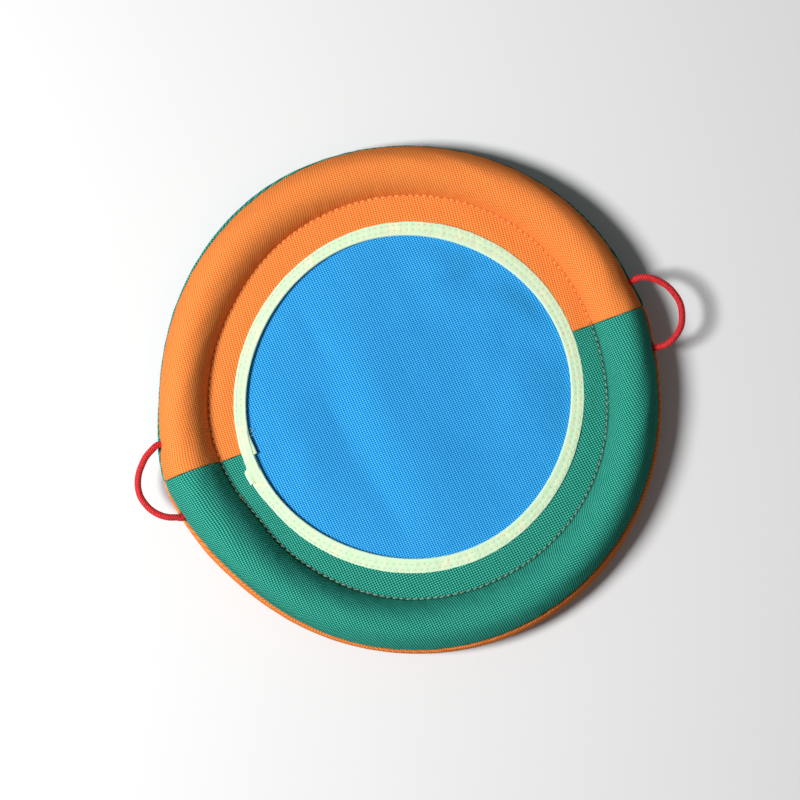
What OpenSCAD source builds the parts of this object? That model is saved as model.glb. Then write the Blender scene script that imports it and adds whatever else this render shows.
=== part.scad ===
// Soft catch disc: a foam ring sewn into a two-colour fabric rim, a woven centre panel,
// folded binding tape round both openings and an elastic cord loop at each side.
//
// +Z is up, the origin is at the centre of the disc on the table, and +X runs along the seam
// that joins the two colours, through the right-hand loop.

/* [Rim] */
// Outside diameter of the disc across its padded rim
rim_d = 230; // [190:1:300]
// Diameter of the round foam ring inside the rim
core_d = 22.6; // [16:0.2:30]
// Slack between the foam and its cover
core_gap = 0.3; // [0.2:0.05:0.8]
// Depth that the soft rim is pressed flat where it stands on a table
foot_flat = 0.5; // [0.2:0.1:1.5]
// Height of the outer seam round the rim tube, in degrees above its widest line
seam_lift = 20; // [10:1:30]
// Depth of the cloth edges turned into the rim at the outer seam
seam_allowance = 4; // [2:0.5:5]

/* [Flange] */
// Thickness of the cover cloth
cloth = 0.7; // [0.5:0.05:1]
// Width of the flat cloth from the stitching that closes the rim to the edge of the opening
flange_w = 17.3; // [12:0.1:26]

/* [Centre panel] */
// Thickness of the woven centre panel
panel_t = 0.6; // [0.4:0.05:1]
// Width of the panel that the stitching catches
panel_catch = 0.7; // [0.2:0.1:1]

/* [Binding] */
// Width of each leg of the folded binding tape
binding_w = 6.3; // [4:0.1:9]
// Thickness of the binding tape
tape = 0.4; // [0.3:0.05:0.6]
// Arc over which the two ends of the tape lap, in degrees
lap_arc = 17; // [8:1:30]
// Where the middle of the lap lies, in degrees from the right-hand loop
lap_at = 184; // [120:1:240]

/* [Cord loops] */
// Diameter of the elastic cord
cord_d = 3; // [2:0.25:3.5]
// Distance between the two ends of the right-hand loop
right_loop_w = 33.4; // [30:0.2:37]
// Distance between the two ends of the left-hand loop
left_loop_w = 36; // [33:0.2:40]
// Where the middle of the left-hand loop lies, in degrees from the right-hand loop
left_loop_at = 179.2; // [175:0.1:185]
// Length of cord sewn into the rim at each end
cord_tail = 8; // [5:0.5:8.5]
// Clearance round the cord where it passes through the cloth and the foam
cord_clear = 0.15; // [0.1:0.05:0.4]
// Gap between a loop and its sewn-in ends, where the cord bends
bend_gap = 0.3; // [0.2:0.05:0.6]

/* [Hidden] */
$fn = 96;

orange = "#F68F46";
green = "#2F9480";
blue = "#3BA0E5";
pale_green = "#DCF5D0";
red = "#CE3F3C";
foam_white = "#EFEDE6";

// The round rim tube, and the height of the middle plane that the flange lies in
tube_r = core_d / 2 + core_gap + cloth;
tube_at = rim_d / 2 - tube_r;
mid_z = tube_r - foot_flat;

// Heights above the middle plane: the panel, the room for the inner leg of the tape, the cloth
slot_half = panel_t / 2 + tape;
flange_top = slot_half + cloth;

// The closing stitch line, where the round of the tube meets the flat of the flange
crease_r = tube_at - sqrt(pow(tube_r, 2) - pow(flange_top, 2));

// The opening, and the fold of the tape round the raw edge of the flange
opening_r = crease_r - flange_w;
fold_r = tape + cloth / 2;
fold_round = 1.04;
fold_z = slot_half + cloth / 2;

// The cord bends at a point just outside the seam
tail_proud = 0.1;
bend_out = cord_d / 2 + bend_gap + tail_proud;
bend_r = tube_at + (tube_r + bend_out) * cos(seam_lift);
bend_z = mid_z + (tube_r + bend_out) * sin(seam_lift);

// Routes of the cord loops from one end to the other: outward from the line through the
// bends, along the rim, and up. The ends themselves lie at half the loop's width.
right_route = [
    [2.6, 16.4, 0.8], [5.6, 15.2, 1.4], [8.4, 13.2, 1.8], [10.8, 10.6, 1.9],
    [12.8, 7.6, 1.8], [14.2, 4.1, 1.6], [15.0, 0.4, 1.4],
    [14.8, -3.2, 1.4], [13.7, -7.0, 1.6], [11.8, -10.6, 1.8], [9.2, -13.4, 1.9],
    [6.1, -15.4, 1.5], [2.8, -16.5, 0.8]
];
left_route = [
    [2.4, 17.0, 0.7], [5.4, 15.8, 1.3], [8.2, 14.0, 1.6], [10.6, 11.6, 1.6],
    [12.5, 8.6, 1.4], [13.8, 5.2, 1.1], [14.6, 1.5, 0.9],
    [14.4, -2.3, 0.9], [13.3, -6.0, 1.1], [11.4, -9.6, 1.4], [9.0, -12.8, 1.6],
    [6.0, -15.4, 1.3], [2.8, -17.1, 0.7]
];
cord_sides = 8;
dome_steps = [60, 30];

// ---- Outlines: x is the distance from the disc's axis, y the height above the middle plane ----

// The half plane above the table, as far in as the given depth of cloth
module above_table(inset) {
    translate([0, inset - mid_z]) square([rim_d, rim_d]);
}

// The rim tube, as far in as the given depth of cloth
module tube_outline(inset) {
    intersection() {
        translate([tube_at, 0]) circle(tube_r - inset);
        above_table(inset);
    }
}

// Everything above the slanted line through the outer seam
module above_seam() {
    translate([tube_at, 0]) rotate(seam_lift) translate([-rim_d, 0]) square(2 * rim_d);
}

// Everything above the middle plane on the inner side of the tube, and above the seam outside
module top_side() {
    intersection() {
        above_seam();
        translate([tube_at, -rim_d]) square(2 * rim_d);
    }
    square([tube_at, rim_d]);
}

// Both covers as one section, before they part at the outer seam
module cover_pair() {
    difference() {
        union() {
            tube_outline(0);
            translate([opening_r + fold_r, -flange_top])
                square([flange_w - fold_r + 2 * cloth, 2 * flange_top]);
        }
        tube_outline(cloth);
        translate([0, -slot_half]) square([tube_at, 2 * slot_half]);
    }
}

// The edge of one cover turned into the rim along the seam, on the given side of it
module seam_edge(side) {
    translate([tube_at, 0]) rotate(seam_lift)
        translate([tube_r - cloth - seam_allowance, side > 0 ? 0 : -cloth])
            square([seam_allowance + cloth / 2, cloth]);
}

module top_cover_section() {
    intersection() {
        cover_pair();
        top_side();
    }
    seam_edge(1);
}

module bottom_cover_section() {
    difference() {
        cover_pair();
        top_side();
    }
    seam_edge(-1);
}

// The tape folded round the raw edge of the top flange, grown by the given thickness. The bend
// is a little rounder than the fold is thick, so that its two sides run on at a soft corner.
module fold_outline(grow, leg = binding_w) {
    half = fold_r + grow;
    translate([opening_r + fold_r * fold_round, fold_z]) intersection() {
        union() {
            circle(half * fold_round);
            translate([0, -2 * half]) square([leg - fold_r * fold_round, 4 * half]);
        }
        translate([-2 * half, -half]) square([rim_d, 2 * half]);
    }
}

module binding_section() {
    difference() {
        fold_outline(0);
        fold_outline(-tape);
    }
}

// The second layer, where one end of the tape laps over the other, above the raw edge only.
// Its lower half is sunk in the first layer, which it is sewn down on.
module lap_section() {
    intersection() {
        difference() {
            fold_outline(tape, binding_w - tape);
            fold_outline(-tape / 2);
        }
        translate([0, fold_z + tape / 4]) square([tube_at, rim_d]);
    }
}

// ---- Shared solids ----

// Half a turn of a section, from the right-hand seam or from the left-hand one
module half_ring(from) {
    translate([0, 0, mid_z]) rotate([0, 0, from]) rotate_extrude(angle = 180) children();
}

// Places its children at one end of a loop, with +X straight out along the seam there
module at_loop_ends(loop_at, loop_w) {
    spread = asin(loop_w / 2 / bend_r);
    for (side = [-1, 1])
        rotate([0, 0, loop_at + side * spread])
            translate([tube_at, 0, mid_z]) rotate([0, -seam_lift, 0]) children();
}

// Holes that the four sewn-in cord ends need, through cloth and foam
module cord_holes() {
    module hole() {
        start = tube_r - cord_tail - cord_clear;
        translate([start, 0, 0]) rotate([0, 90, 0])
            cylinder(r = cord_d / 2 + cord_clear, h = cord_tail + tube_r / 2);
    }
    at_loop_ends(0, right_loop_w) hole();
    at_loop_ends(left_loop_at, left_loop_w) hole();
}

module loop_ends(loop_at, loop_w) {
    at_loop_ends(loop_at, loop_w)
        translate([tube_r - cord_tail, 0, 0]) rotate([0, 90, 0])
            cylinder(r = cord_d / 2, h = cord_tail + tail_proud);
}

module folded_tape() {
    translate([0, 0, mid_z]) {
        rotate_extrude() binding_section();
        rotate([0, 0, lap_at - lap_arc / 2]) rotate_extrude(angle = lap_arc) lap_section();
    }
}

// ---- Cord swept along a route ----

function unit(v) = v / norm(v);

// Direction of the route at point i
function heading(route, i) =
    unit(route[min(i + 1, len(route) - 1)] - route[max(i - 1, 0)]);

function cord_ring(at, ahead, r) =
    let (across = unit(cross([0, 0, 1], ahead)), up = cross(ahead, across))
    [for (k = [0 : cord_sides - 1])
        at + r * (across * cos(360 * k / cord_sides) + up * sin(360 * k / cord_sides))];

// Rings of a route whose two ends are closed by round domes
function cord_rings(route) =
    let (last = len(route) - 1, r = cord_d / 2, start = heading(route, 0), stop = heading(route, last))
    concat(
        [for (a = dome_steps) cord_ring(route[0] - start * r * sin(a), start, r * cos(a))],
        [for (i = [0 : last]) cord_ring(route[i], heading(route, i), r)],
        [for (k = [len(dome_steps) - 1 : -1 : 0])
            let (a = dome_steps[k]) cord_ring(route[last] + stop * r * sin(a), stop, r * cos(a))]
    );

module swept_cord(route) {
    rings = cord_rings(route);
    last = len(rings) - 1;
    start = heading(route, 0);
    stop = heading(route, len(route) - 1);
    points = concat(
        [for (ring = rings) each ring],
        [route[0] - start * cord_d / 2, route[len(route) - 1] + stop * cord_d / 2]
    );
    first_pole = len(points) - 2;
    last_pole = len(points) - 1;
    function corner(i, k) = i * cord_sides + (k + cord_sides) % cord_sides;
    faces = concat(
        [for (k = [0 : cord_sides - 1]) [first_pole, corner(0, k), corner(0, k + 1)]],
        [for (i = [0 : last - 1]) for (k = [0 : cord_sides - 1])
            each [[corner(i, k), corner(i + 1, k), corner(i + 1, k + 1)],
                  [corner(i, k), corner(i + 1, k + 1), corner(i, k + 1)]]],
        [for (k = [0 : cord_sides - 1]) [last_pole, corner(last, k + 1), corner(last, k)]]
    );
    polyhedron(points = points, faces = faces, convexity = 4);
}

module cord_loop(loop_at, loop_w, route) {
    bend_x = sqrt(pow(bend_r, 2) - pow(loop_w / 2, 2));
    whole = concat([[0, loop_w / 2, 0]], route, [[0, -loop_w / 2, 0]]);
    rotate([0, 0, loop_at]) translate([bend_x, 0, bend_z]) swept_cord(whole);
}

// ---- The pieces ----

// Ring of round foam, slit for the turned-in cloth edges and pierced for the cord ends
module foam_core() {
    color(foam_white) difference() {
        translate([0, 0, mid_z]) rotate_extrude() difference() {
            intersection() {
                translate([tube_at, 0]) circle(core_d / 2);
                above_table(cloth + core_gap);
            }
            translate([tube_at, 0]) rotate(seam_lift)
                translate([tube_r - cloth - seam_allowance - core_gap, -cloth - core_gap])
                    square([seam_allowance + tube_r, 2 * (cloth + core_gap)]);
        }
        cord_holes();
    }
}

module top_cover_orange() {
    color(orange) difference() {
        half_ring(0) top_cover_section();
        cord_holes();
    }
}

module top_cover_green() {
    color(green) difference() {
        half_ring(180) top_cover_section();
        cord_holes();
    }
}

module bottom_cover_green() {
    color(green) difference() {
        half_ring(0) bottom_cover_section();
        cord_holes();
    }
}

module bottom_cover_orange() {
    color(orange) difference() {
        half_ring(180) bottom_cover_section();
        cord_holes();
    }
}

// Woven panel between the two flanges, caught by the closing stitches
module centre_panel() {
    color(blue) translate([0, 0, mid_z - panel_t / 2])
        cylinder(r = crease_r + panel_catch, h = panel_t);
}

module top_binding() {
    color(pale_green) folded_tape();
}

module bottom_binding() {
    color(pale_green) translate([0, 0, 2 * mid_z]) mirror([0, 0, 1]) folded_tape();
}

module right_loop_ends() {
    color(red) loop_ends(0, right_loop_w);
}

module left_loop_ends() {
    color(red) loop_ends(left_loop_at, left_loop_w);
}

module right_loop() {
    color(red) cord_loop(0, right_loop_w, right_route);
}

module left_loop() {
    color(red) cord_loop(left_loop_at, left_loop_w, left_route);
}

foam_core();
bottom_cover_green();
bottom_cover_orange();
centre_panel();
bottom_binding();
top_cover_orange();
top_cover_green();
top_binding();
right_loop_ends();
left_loop_ends();
right_loop();
left_loop();
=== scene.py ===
"""Soft catch disc: the sewn cloth, tape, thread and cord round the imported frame."""

import logging
import math
from collections.abc import Callable, Sequence
from dataclasses import dataclass, field
from enum import Enum, IntEnum
from functools import cached_property

import bmesh
import bpy
import numpy as np
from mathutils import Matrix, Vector


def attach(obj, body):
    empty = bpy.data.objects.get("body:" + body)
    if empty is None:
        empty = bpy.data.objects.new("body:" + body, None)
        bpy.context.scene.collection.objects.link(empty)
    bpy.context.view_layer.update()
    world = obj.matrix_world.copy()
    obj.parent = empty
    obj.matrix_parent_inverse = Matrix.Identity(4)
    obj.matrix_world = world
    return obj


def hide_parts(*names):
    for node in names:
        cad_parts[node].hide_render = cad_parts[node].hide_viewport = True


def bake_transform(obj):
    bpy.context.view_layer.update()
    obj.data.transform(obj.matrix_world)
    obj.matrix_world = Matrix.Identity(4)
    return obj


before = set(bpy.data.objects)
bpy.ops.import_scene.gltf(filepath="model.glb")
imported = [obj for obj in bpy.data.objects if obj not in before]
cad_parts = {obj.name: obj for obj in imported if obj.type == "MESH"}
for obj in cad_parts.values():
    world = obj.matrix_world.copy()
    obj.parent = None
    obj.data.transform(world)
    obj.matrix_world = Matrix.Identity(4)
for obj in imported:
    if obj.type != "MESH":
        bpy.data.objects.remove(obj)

MM = 0.001
TURN = 2 * math.pi
DEGREE = math.radians(1)
# A point attribute of painted shade: darker at needle holes, along creases and seams, and on
# rolled-in edges.
PAINTED_SHADE = "painted_shade"
TOUCHING = 1e-6
SPLINE_STEPS = 24
LOG = logging.getLogger("disc")

Array = np.ndarray
Colour = tuple[float, float, float]
Pair = tuple[Array, Array]
Range = tuple[float, float]
Form = Callable[[Array, Array], Pair]
Piece, Material, Socket = bpy.types.Object, bpy.types.Material, bpy.types.NodeSocket
Value = float | tuple | Socket

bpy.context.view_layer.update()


class Side(Enum):
    """Which face of the disc a piece is on, as the sign of its height above the middle."""

    TOP = 1
    BOTTOM = -1


class Half(Enum):
    """Which half of the disc a cover panel spans: beyond the split seam, or before it."""

    FAR = "far"
    NEAR = "near"


# ---- Lines round the disc ------------------------------------------------------------------


@dataclass(frozen=True)
class Swell:
    """A slow wave of a hand-sewn line: swells in a turn, height in mm or degrees, first crest."""

    count: int
    height: float
    at: float


@dataclass(frozen=True)
class Bulge:
    """A place where a line is drawn outwards: by how much, where, and over what angle."""

    height: float
    at: float
    spread: float


@dataclass(frozen=True)
class Outline:
    """A line round the disc that swells a little where the sewing drew it in or let it out."""

    mean: float
    swells: tuple[Swell, ...] = ()
    bulges: tuple[Bulge, ...] = ()
    unit: float = MM

    def at(self, turn: Array) -> Array:
        """Give the line's value at each angle round the disc.

        Args:
            turn: Angles from the right-hand loop, in radians.

        Returns:
            Distances in metres, or angles in radians for an outline in degrees.
        """
        total = np.full_like(turn, self.mean, dtype=float)
        for swell in self.swells:
            total += swell.height * np.cos(swell.count * (turn - math.radians(swell.at)))
        for bulge in self.bulges:
            away = apart(turn, math.radians(bulge.at)) / math.radians(bulge.spread)
            total += bulge.height * bell(away)
        return total * self.unit


@dataclass(frozen=True)
class Ripples:
    """Fine irregularity of cloth round the disc, the same on each run."""

    counts: tuple[int, ...]
    height: float
    seed: int

    def at(self, turn: Array) -> Array:
        """Give the ripple at each angle, in metres."""
        phases = np.random.default_rng(self.seed).uniform(0, TURN, len(self.counts))
        waves = [np.cos(count * turn + phase) for count, phase in zip(self.counts, phases)]
        return self.height * MM * np.sum(waves, axis=0) / math.sqrt(len(self.counts))


def apart(turn: Array, other: float) -> Array:
    """Give the signed angle from another one, by the shorter way round."""
    return (turn - other + math.pi) % TURN - math.pi


def step(value: Array, low: float, high: float) -> Array:
    """Rise smoothly from 0 at low to 1 at high."""
    share = np.clip((value - low) / (high - low), 0, 1)
    return share * share * (3 - 2 * share)


def bell(away: Array) -> Array:
    """Give 1 at 0, falling to 0 on both sides."""
    return np.exp(-(away**2))


def nth(share: Array, count: int) -> Array:
    """Give the number, from 0, of each of a count of even places from its share of the way."""
    return np.rint(share * (count - 1)).astype(int)


def round_axis(distance: Array, turn: Array, height: Array) -> Array:
    """Give the places at distances from the disc's axis, angles round it and heights."""
    return np.stack([distance * np.cos(turn), distance * np.sin(turn), height], axis=1)


# ---- Cord loops' places --------------------------------------------------------------------


@dataclass(frozen=True)
class LoopRoute:
    """The route of one cord loop, in millimetres, as the frame has it.

    The points run outward from the line through the two bends, along the rim, and up.
    """

    name: str
    body: str
    nodes: tuple[str, ...]
    at: float
    width: float
    points: tuple[tuple[float, float, float], ...]
    bend_r: float = 116.044
    bend_z: float = 16.657
    tube_at: float = 102.7
    tube_r: float = 12.3
    middle: float = 11.8
    seam_lift: float = 20.0
    tail: float = 8.0
    tail_step: float = 2.0
    tail_points: int = 5

    @property
    def ends(self) -> Range:
        """Where the two ends leave the rim, in radians round the disc."""
        spread = math.degrees(math.asin(self.width / 2 / self.bend_r))
        return (math.radians(self.at + spread), math.radians(self.at - spread))

    def tail_point(self, turn: float, reach: float) -> Array:
        """Give a point on a sewn-in end, that far from the middle of the rim tube."""
        lift = math.radians(self.seam_lift)
        distance = self.tube_at + reach * math.cos(lift)
        height = self.middle + reach * math.sin(lift)
        return MM * np.array([distance * math.cos(turn), distance * math.sin(turn), height])

    def bend_point(self, x: float, y: float = 0.0, z: float = 0.0) -> Array:
        """Give a point that far out, along and up from the middle of the line of the bends."""
        bend_x = math.sqrt(self.bend_r**2 - (self.width / 2) ** 2)
        turn = math.radians(self.at)
        out = np.array([math.cos(turn), math.sin(turn), 0.0])
        along = np.array([-math.sin(turn), math.cos(turn), 0.0])
        up = np.array([0.0, 0.0, 1.0])
        return MM * ((bend_x + x) * out + y * along + (self.bend_z + z) * up)

    def line(self) -> Array:
        """Give the whole line of the cord, from one sewn-in end round to the other."""
        whole = ((0, self.width / 2, 0), *self.points, (0, -self.width / 2, 0))
        free = [self.bend_point(*point) for point in whole]
        reaches = [self.tube_r - self.tail + self.tail_step * k for k in range(self.tail_points)]
        start = [self.tail_point(self.ends[0], reach) for reach in reaches]
        stop = [self.tail_point(self.ends[1], reach) for reach in reversed(reaches)]
        return np.array(start + free + stop)


RIGHT_ROUTE = LoopRoute(
    name="right_cord",
    body="right_loop",
    nodes=("right_loop", "right_loop_ends"),
    at=0.0,
    width=32.5,
    points=(
        (2.4, 15.9, 0.8), (5.2, 14.6, 1.4), (7.8, 12.5, 1.8), (10.1, 10.0, 1.9),
        (11.9, 7.1, 1.8), (13.2, 3.8, 1.6), (14.0, 0.4, 1.4),
        (13.9, -3.0, 1.4), (12.9, -6.7, 1.6), (11.2, -10.2, 1.8), (8.7, -12.8, 1.9),
        (5.8, -14.8, 1.5), (2.6, -16.0, 0.8),
    ),
)
LEFT_ROUTE = LoopRoute(
    name="left_cord",
    body="left_loop",
    nodes=("left_loop", "left_loop_ends"),
    at=178.83,
    width=34.5,
    points=(
        (1.9, 16.3, 0.7), (4.7, 15.3, 1.3), (7.3, 13.8, 1.6), (9.7, 11.7, 1.6),
        (11.8, 9.0, 1.4), (13.3, 5.8, 1.1), (14.2, 2.2, 0.9),
        (14.0, -1.5, 0.9), (12.9, -5.1, 1.1), (11.1, -8.4, 1.4), (8.7, -11.3, 1.6),
        (6.1, -13.9, 1.3), (3.0, -15.8, 0.7),
    ),
)


# ---- The sewn form of the rim --------------------------------------------------------------


@dataclass(frozen=True)
class Skin:
    """The upper skin of the rim's section, by its slope at even steps from crease to rim."""

    slopes: tuple[float, ...]
    steps: int = 400

    @cached_property
    def line(self) -> tuple[Array, Array, Array, Array]:
        """Follow the slopes, from 0 at the crease to 1 at the outermost line.

        Returns:
            The share of the way, and there the share of the breadth, the share of the crown
            and the slope in radians.
        """
        share = np.linspace(0, 1, self.steps + 1)
        slope = np.radians(np.interp(share, np.linspace(0, 1, len(self.slopes)), self.slopes))
        out, up = (
            np.concatenate([[0], np.cumsum((way[1:] + way[:-1]) / 2)])
            for way in (np.cos(slope), np.sin(slope))
        )
        up = up - up[-1] * share
        return share, out / out[-1], up / up.max(), slope

    def at(self, share: Array) -> tuple[Array, Array, Array]:
        """Give the shares of the breadth and of the crown, and the slope, at a share of the way."""
        steps, *lines = self.line
        return tuple(np.interp(share, steps, line) for line in lines)

    def share_at(self, out: Array) -> Array:
        """Give the share of the way at a share of the breadth."""
        return np.interp(out, self.line[1], self.line[0])


@dataclass(frozen=True)
class RimForm:
    """The form that the covers are sewn to: a padded tube outside a flat flange."""

    crease: Outline
    outside: Outline
    opening: Outline
    seam: Outline
    cord_turns: tuple[float, ...]
    skin: Skin
    drawn_skin: Skin
    drawn: Outline
    lean: Outline
    crown: Outline
    sag: Outline
    middle: float = 11.8 * MM
    flange_top: float = 1.4 * MM
    flange_sunk: float = 0.28 * MM
    flange_rise: float = 0.40 * MM
    flange_rise_over: float = 8.5 * MM
    tape_dip: float = 0.45 * MM
    tape_dip_ends: Range = (9.5 * MM, 12.5 * MM)
    half_height: float = 12.3 * MM
    seam_at_cords: float = math.radians(24.5)
    cord_circle: float = 114 * MM
    pull_reach: float = math.radians(3.6)
    stitches: int = 186
    base: float = 1.12 * MM
    bow: float = 1.7
    brow: float = 1.6
    underside: float = 0.99
    sag_power: int = 3

    @property
    def crease_angle(self) -> float:
        """The angle round the tube at which the flange meets it."""
        return math.pi - math.asin(self.flange_top / self.half_height)

    def tube(self, turn: Array) -> Pair:
        """Give the distance of the tube's middle from the disc's axis, and its half breadth."""
        near, far = self.crease.at(turn), self.outside.at(turn)
        half = (far - near) / (1 - math.cos(self.crease_angle))
        return far - half, half

    def upper(self, turn: Array, share: Array) -> tuple[Array, Array, Array]:
        """Give the upper skin at a share of the way, between its slack form and its drawn one."""
        drawn = self.drawn.at(turn)
        ends = zip(self.skin.at(share), self.drawn_skin.at(share))
        return tuple(slack + (hard - slack) * drawn for slack, hard in ends)

    def upper_share(self, turn: Array, out: Array) -> Array:
        """Give the share of the way at a share of the breadth."""
        slack, hard = self.skin.share_at(out), self.drawn_skin.share_at(out)
        return slack + (hard - slack) * self.drawn.at(turn)

    def section(self, turn: Array, angle: Array, proud: Array) -> Pair:
        """Give the place of a point of the tube's skin.

        Args:
            turn: The angle round the disc.
            angle: The angle round the tube, from its outermost line upwards.
            proud: How far the point stands outside the tube's even form.

        Returns:
            The distance from the disc's axis, and the height above the middle.
        """
        centre, half = self.tube(turn)
        near, far = self.crease.at(turn), self.outside.at(turn)
        sag = self.sag.at(turn) * (1 - self.pull(turn))
        rise = (1 - np.abs(np.cos(angle)) ** self.bow) ** (1 / self.brow)
        low_r = centre + (half + proud) * np.cos(angle)
        low_sag = sag * np.clip((low_r - near) / (far - near), 0, 1) ** self.sag_power
        low_z = -(self.middle * self.underside + proud) * rise + low_sag
        share = np.clip(1 - angle / self.crease_angle, 0, 1)
        out, up, slope = self.upper(turn, share)
        lean = self.lean.at(turn) * np.sin(math.pi * share) ** 2
        high_r = near + (far - near) * out + lean - proud * np.sin(slope)
        crown = self.crown.at(turn) - self.base / 2
        high_sag = sag * out**self.sag_power
        high_z = self.base * (1 - share) + crown * up + high_sag + proud * np.cos(slope)
        above = np.sin(angle) > 0
        return np.where(above, high_r, low_r), np.where(above, high_z, low_z)

    def flange_height(self, gap: Array) -> Array:
        """Give the flange face's height above the middle, by the distance from the crease."""
        rise = self.flange_rise * np.clip(gap / self.flange_rise_over, 0, 1)
        dip = self.tape_dip * step(gap, *self.tape_dip_ends)
        return self.flange_top - self.flange_sunk + (rise - dip)

    def near_cord(self, turn: Array, reach: float) -> Array:
        """Give 1 at a cord, falling to 0 a few times the reach away, in radians of turn."""
        return np.max([bell(apart(turn, cord) / reach) for cord in self.cord_turns], axis=0)

    def pull(self, turn: Array) -> Array:
        """Give 1 where a cord holds the outer seam, falling to 0 away from it."""
        return self.near_cord(turn, self.pull_reach)

    def seam_angle(self, turn: Array) -> Array:
        """Give how far round the tube the outer seam lies, which the cords draw to them."""
        free = 1 - self.pull(turn)
        lift = self.seam_at_cords + (self.seam.at(turn) - self.seam_at_cords) * free
        half = self.tube(turn)[1]
        breadth = self.outside.at(turn) - self.crease.at(turn)
        out = 1 - half * (1 - np.cos(lift)) / breadth
        return self.crease_angle * (1 - self.upper_share(turn, out))


@dataclass(frozen=True)
class CordSlot:
    """How the covers or the foam part for a cord: how wide, and its reach along and across."""

    half_width: float
    along: float = 2.3 * MM
    across: float = 3.2 * MM

    def at(self, form: RimForm, turn: Array, from_seam: Array) -> Array:
        """Give how far a point at a distance from the outer seam is pushed away from it."""
        close = form.near_cord(turn, self.along / form.cord_circle)
        return self.half_width * close * bell(from_seam / self.across)


RIM = RimForm(
    crease=Outline(
        90.75,
        (Swell(1, 1.17, 75), Swell(2, 1.04, 100), Swell(3, 0.72, 49), Swell(4, 0.19, 57),
         Swell(5, 0.23, 30)),
        (Bulge(-1.5, 197, 9.5), Bulge(-0.7, 130, 14), Bulge(0.5, 243, 20), Bulge(0.6, 168, 10)),
    ),
    outside=Outline(
        114.70,
        (Swell(1, 0.58, 297), Swell(2, 1.46, 100), Swell(3, 0.30, 60), Swell(4, 0.49, 25)),
        (Bulge(4.1, 180, 14.4), Bulge(0.7, 1, 6), Bulge(0.4, 107, 14), Bulge(0.6, 198, 7),
         Bulge(0.3, 172, 8)),
    ),
    opening=Outline(
        74.1, (Swell(1, 0.97, 100), Swell(2, 0.27, 179), Swell(3, 0.31, 60), Swell(4, 0.50, 3))
    ),
    seam=Outline(
        24.6,
        (Swell(1, 10.0, 269), Swell(2, 2.1, 113), Swell(3, 3.2, 98), Swell(4, 4.1, 20),
         Swell(5, 1.3, 58)),
        (Bulge(3.4, 110, 12), Bulge(-8, 178, 7), Bulge(3, 310, 15)),
        unit=DEGREE,
    ),
    cord_turns=RIGHT_ROUTE.ends + LEFT_ROUTE.ends,
    skin=Skin((72.0, 70.0, 62.5, 48.0, 25.0, -2.6, -34.7, -49.0, -58.0, -62.0, -90.0)),
    drawn_skin=Skin((74.0, 71.0, 62.0, 47.0, 25.0, -20.0, -57.0, -66.0, -69.0, -71.0, -90.0)),
    drawn=Outline(0, (), (Bulge(1.0, 306, 38), Bulge(0.7, 209, 18)), unit=1.0),
    lean=Outline(
        0.5,
        (Swell(1, 1.0, 62), Swell(2, 0.41, 23.5)),
        (Bulge(-0.75, 311, 33), Bulge(-0.3, 24, 24), Bulge(-0.4, 200, 20)),
    ),
    crown=Outline(14.4, (Swell(1, 1.6, 285),), (Bulge(-0.5, 28, 22),)),
    sag=Outline(0, (), (Bulge(-3.9, 308, 34), Bulge(4.6, 29, 29), Bulge(-2.2, 219, 13))),
)


# ---- Mesh work -----------------------------------------------------------------------------


def show(mesh: bpy.types.Mesh, name: str) -> Piece:
    """Put a mesh in the scene as a smooth piece."""
    mesh.polygons.foreach_set("use_smooth", [True] * len(mesh.polygons))
    piece = bpy.data.objects.new(name, mesh)
    bpy.context.scene.collection.objects.link(piece)
    return piece


def lay_grid(name: str, columns: int, rows: int, form: Form, closed: bool = False) -> Piece:
    """Cut a flat grid of cloth and lay it on a form.

    Args:
        name: The piece's name.
        columns: Cells along the grid's first direction.
        rows: Cells along its second direction.
        form: Gives the places and the flat pattern of points, from their shares of the grid.
        closed: Whether edges that meet are sewn together.

    Returns:
        The piece, with the flat pattern in metres as its UV map.
    """
    shape = bmesh.new()
    bmesh.ops.create_grid(shape, x_segments=columns, y_segments=rows, size=0.5)
    mesh = bpy.data.meshes.new(name)
    shape.to_mesh(mesh)
    flat = np.zeros(len(mesh.vertices) * 3)
    mesh.vertices.foreach_get("co", flat)
    flat = flat.reshape(-1, 3) + 0.5
    places, pattern = form(flat[:, 0], flat[:, 1])
    mesh.vertices.foreach_set("co", places.ravel())
    corners = np.zeros(len(mesh.loops), dtype=int)
    mesh.loops.foreach_get("vertex_index", corners)
    layer = mesh.uv_layers.new(name="pattern")
    layer.uv.foreach_set("vector", pattern[corners].ravel())
    shape.clear()
    shape.from_mesh(mesh)
    if closed:
        bmesh.ops.remove_doubles(shape, verts=shape.verts, dist=TOUCHING)
        open_edges = [edge for edge in shape.edges if edge.is_boundary]
        if open_edges:
            bmesh.ops.holes_fill(shape, edges=open_edges, sides=0)
        bmesh.ops.recalc_face_normals(shape, faces=shape.faces)
    shape.to_mesh(mesh)
    shape.free()
    return show(mesh, name)


def face_up(piece: Piece, towards: Callable[[Vector, Vector], float]) -> None:
    """Turn a sheet's faces over if most of them look the wrong way.

    Args:
        piece: The sheet.
        towards: Gives a positive number for a face's middle and normal that look outwards.
    """
    total = sum(towards(face.center, face.normal) for face in piece.data.polygons)
    if total < 0:
        piece.data.flip_normals()


def keep_painted_shade(piece: Piece, shares: Array) -> None:
    """Keep how dark painted shade makes each point, at needle holes, creases and seams, for the
    finish.
    """
    painted_shades = piece.data.attributes.new(PAINTED_SHADE, "FLOAT", "POINT")
    painted_shades.data.foreach_set("value", shares.astype(np.float32))


def thicken(piece: Piece, depth: float, offset: float = -1.0) -> None:
    """Give a sheet its thickness, inwards unless the offset says otherwise."""
    made = piece.modifiers.new("cloth thickness", "SOLIDIFY")
    made.thickness = depth
    made.offset = offset
    made.use_even_offset = False
    made.use_quality_normals = True


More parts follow.
